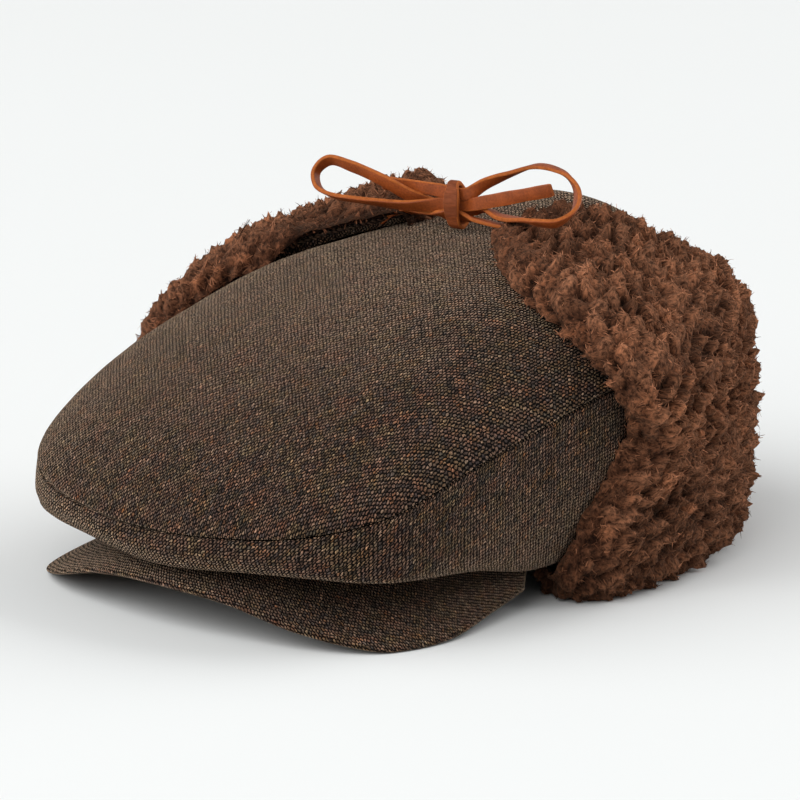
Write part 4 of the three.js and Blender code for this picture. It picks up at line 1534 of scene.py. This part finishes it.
    def wisps(self, fleece):
        """Fibres drawn together to a point over some of the tufts, given as the fuzz is."""
        rng = self.rng
        picked = np.nonzero(rng.uniform(size=len(self.spot)) < self.WISP_PART)[0]
        shape = (len(picked), fleece.wisps)
        out, comb, across = (way[picked, None, None] for way in (self.out, self.comb, self.across))
        tall = self.tall[picked]
        foot = self.spot[picked] + self.out[picked] * (0.45 * tall - self.SINK)[:, None]
        reach = rng.uniform(*self.WISP_REACH, (shape[0], 1, 1, 1))
        reach = reach * mix(0.4, 1, tall / tall.max())[:, None, None, None]
        reach = reach * self.loose[picked, None, None, None]
        tip = foot[:, None, None] + out * 3 * reach + comb * 2.8 * reach + rng.normal(0, 0.14, shape + (1, 3))
        ring = rng.uniform(0, 2 * math.pi, shape)[..., None, None]
        wide = self.wide[picked, None, None, None] * rng.uniform(0.3, 0.75, shape)[..., None, None]
        start = foot[:, None, None] + across * wide * np.cos(ring) + comb * wide * np.sin(ring)
        steps = np.linspace(0, 1, self.BENDS)[:, None]
        path = mix(start, tip, steps) + out * (1.3 * steps * (1 - steps)) - comb * (0.9 * steps * (1 - steps))
        path = path.reshape(-1, self.BENDS, 3)
        spread = unit(across * np.cos(ring) + comb * np.sin(ring))
        lit = unit(out + 0.6 * spread * (1 - steps) + 0.3 * comb * steps).reshape(path.shape)
        shade = np.clip(self.shade[picked, None] + 0.1 * rng.normal(size=shape), 0, 0.999).ravel()
        # Painted shade: a wisp is dark at its foot, low in the pile, and lighter at its point; its shade also
        # carries the painted shade towards the floor
        tone_and_pile_shade = np.broadcast_to(0.38 + 0.32 * steps[:, 0], path.shape[:2])
        tones = np.stack([np.repeat(shade[:, None], self.BENDS, 1), tone_and_pile_shade], -1)
        column = np.repeat(self.column[picked], fleece.wisps)
        return path, lit, tones, column, np.full(len(shade), self.WISP_BREADTH)

    def ribbons(self, name, paths, lit, tones, breadth, material):
        """Thin flat strips along the paths, each mapped to one narrow strip of the fibre's shades."""
        rng = self.rng
        count, rings = paths.shape[:2]
        paths = paths.copy()
        least = self.FIBRE_LEAST_Z + 0.3 * rng.uniform(size=(count, 1))
        paths[..., 2] = np.maximum(paths[..., 2], least)
        ahead = unit(np.gradient(paths, axis=1))
        flat = unit(np.cross(ahead, unit(lit + rng.normal(0, 0.35, (count, 1, 3)))))
        taper = 1 - 0.75 * np.linspace(0, 1, rings) ** 1.5
        half = breadth[:, None] / 2 * rng.uniform(0.7, 1.25, (count, 1)) * taper
        points = np.stack([paths - flat * half[..., None], paths + flat * half[..., None]], 2)
        first = np.arange(rings - 1) * 2
        quad = np.stack([first, first + 1, first + 3, first + 2], 1)
        faces = (np.arange(count)[:, None, None] * rings * 2 + quad).reshape(-1, 4)
        strip = np.floor(tones[..., :1] * self.SHADES)
        u = (strip + np.array([0.1, 0.9])) / self.SHADES
        spots = np.stack(np.broadcast_arrays(u, tones[..., 1:]), -1).reshape(-1, 2)
        normals = np.repeat(lit[:, :, None], 2, 2).reshape(-1, 3)
        points = points.reshape(-1, 3)
        return make_piece(name, points, faces, spots[faces.ravel()], (material,), normals=normals)


class CAP_PT_cap(bpy.types.Panel):
    """Pieces, sizes and colours of the earflap cap"""

    bl_idname = "CAP_PT_cap"
    bl_label = "Earflap cap"
    bl_space_type = "VIEW_3D"
    bl_region_type = "UI"
    bl_category = "Cap"

    def draw(self, context):
        for title, group, pieces in SECTIONS:
            box = self.layout.box()
            box.label(text=title)
            settings = getattr(context.scene, group)
            for key in settings.__annotations__:
                box.prop(settings, key)
            for piece in pieces:
                box.operator(piece.bl_idname)


SECTIONS = (
    ("Stage", "cap_stage", (CAP_OT_stage,)),
    ("Bow", "cap_lace", (CAP_OT_knot, CAP_OT_laces)),
    ("Tweed", "cap_cloth", (CAP_OT_crown, CAP_OT_peak, CAP_OT_flap)),
    ("Fleece", "cap_fleece", (CAP_OT_fleece,)),
)
GROUPS = {"cap_stage": CapStage, "cap_lace": CapLace, "cap_cloth": CapCloth, "cap_fleece": CapFleece}


def register():
    """Adds the settings, the operators and the panel to Blender."""
    for name, group in GROUPS.items():
        bpy.utils.register_class(group)
        setattr(bpy.types.Scene, name, bpy.props.PointerProperty(type=group))
    for _, _, pieces in SECTIONS:
        for piece in pieces:
            bpy.utils.register_class(piece)
    bpy.utils.register_class(CAP_PT_cap)


def unregister():
    """Takes them out again."""
    bpy.utils.unregister_class(CAP_PT_cap)
    for _, _, pieces in reversed(SECTIONS):
        for piece in reversed(pieces):
            bpy.utils.unregister_class(piece)
    for name, group in reversed(GROUPS.items()):
        delattr(bpy.types.Scene, name)
        bpy.utils.unregister_class(group)


def main():
    """Makes the whole cap."""
    register()
    bpy.ops.cap.stage()
    bpy.ops.cap.knot()
    bpy.ops.cap.laces()
    bpy.ops.cap.crown()
    bpy.ops.cap.peak()
    bpy.ops.cap.flap()
    bpy.ops.cap.fleece()


if __name__ == "__main__":
    main()
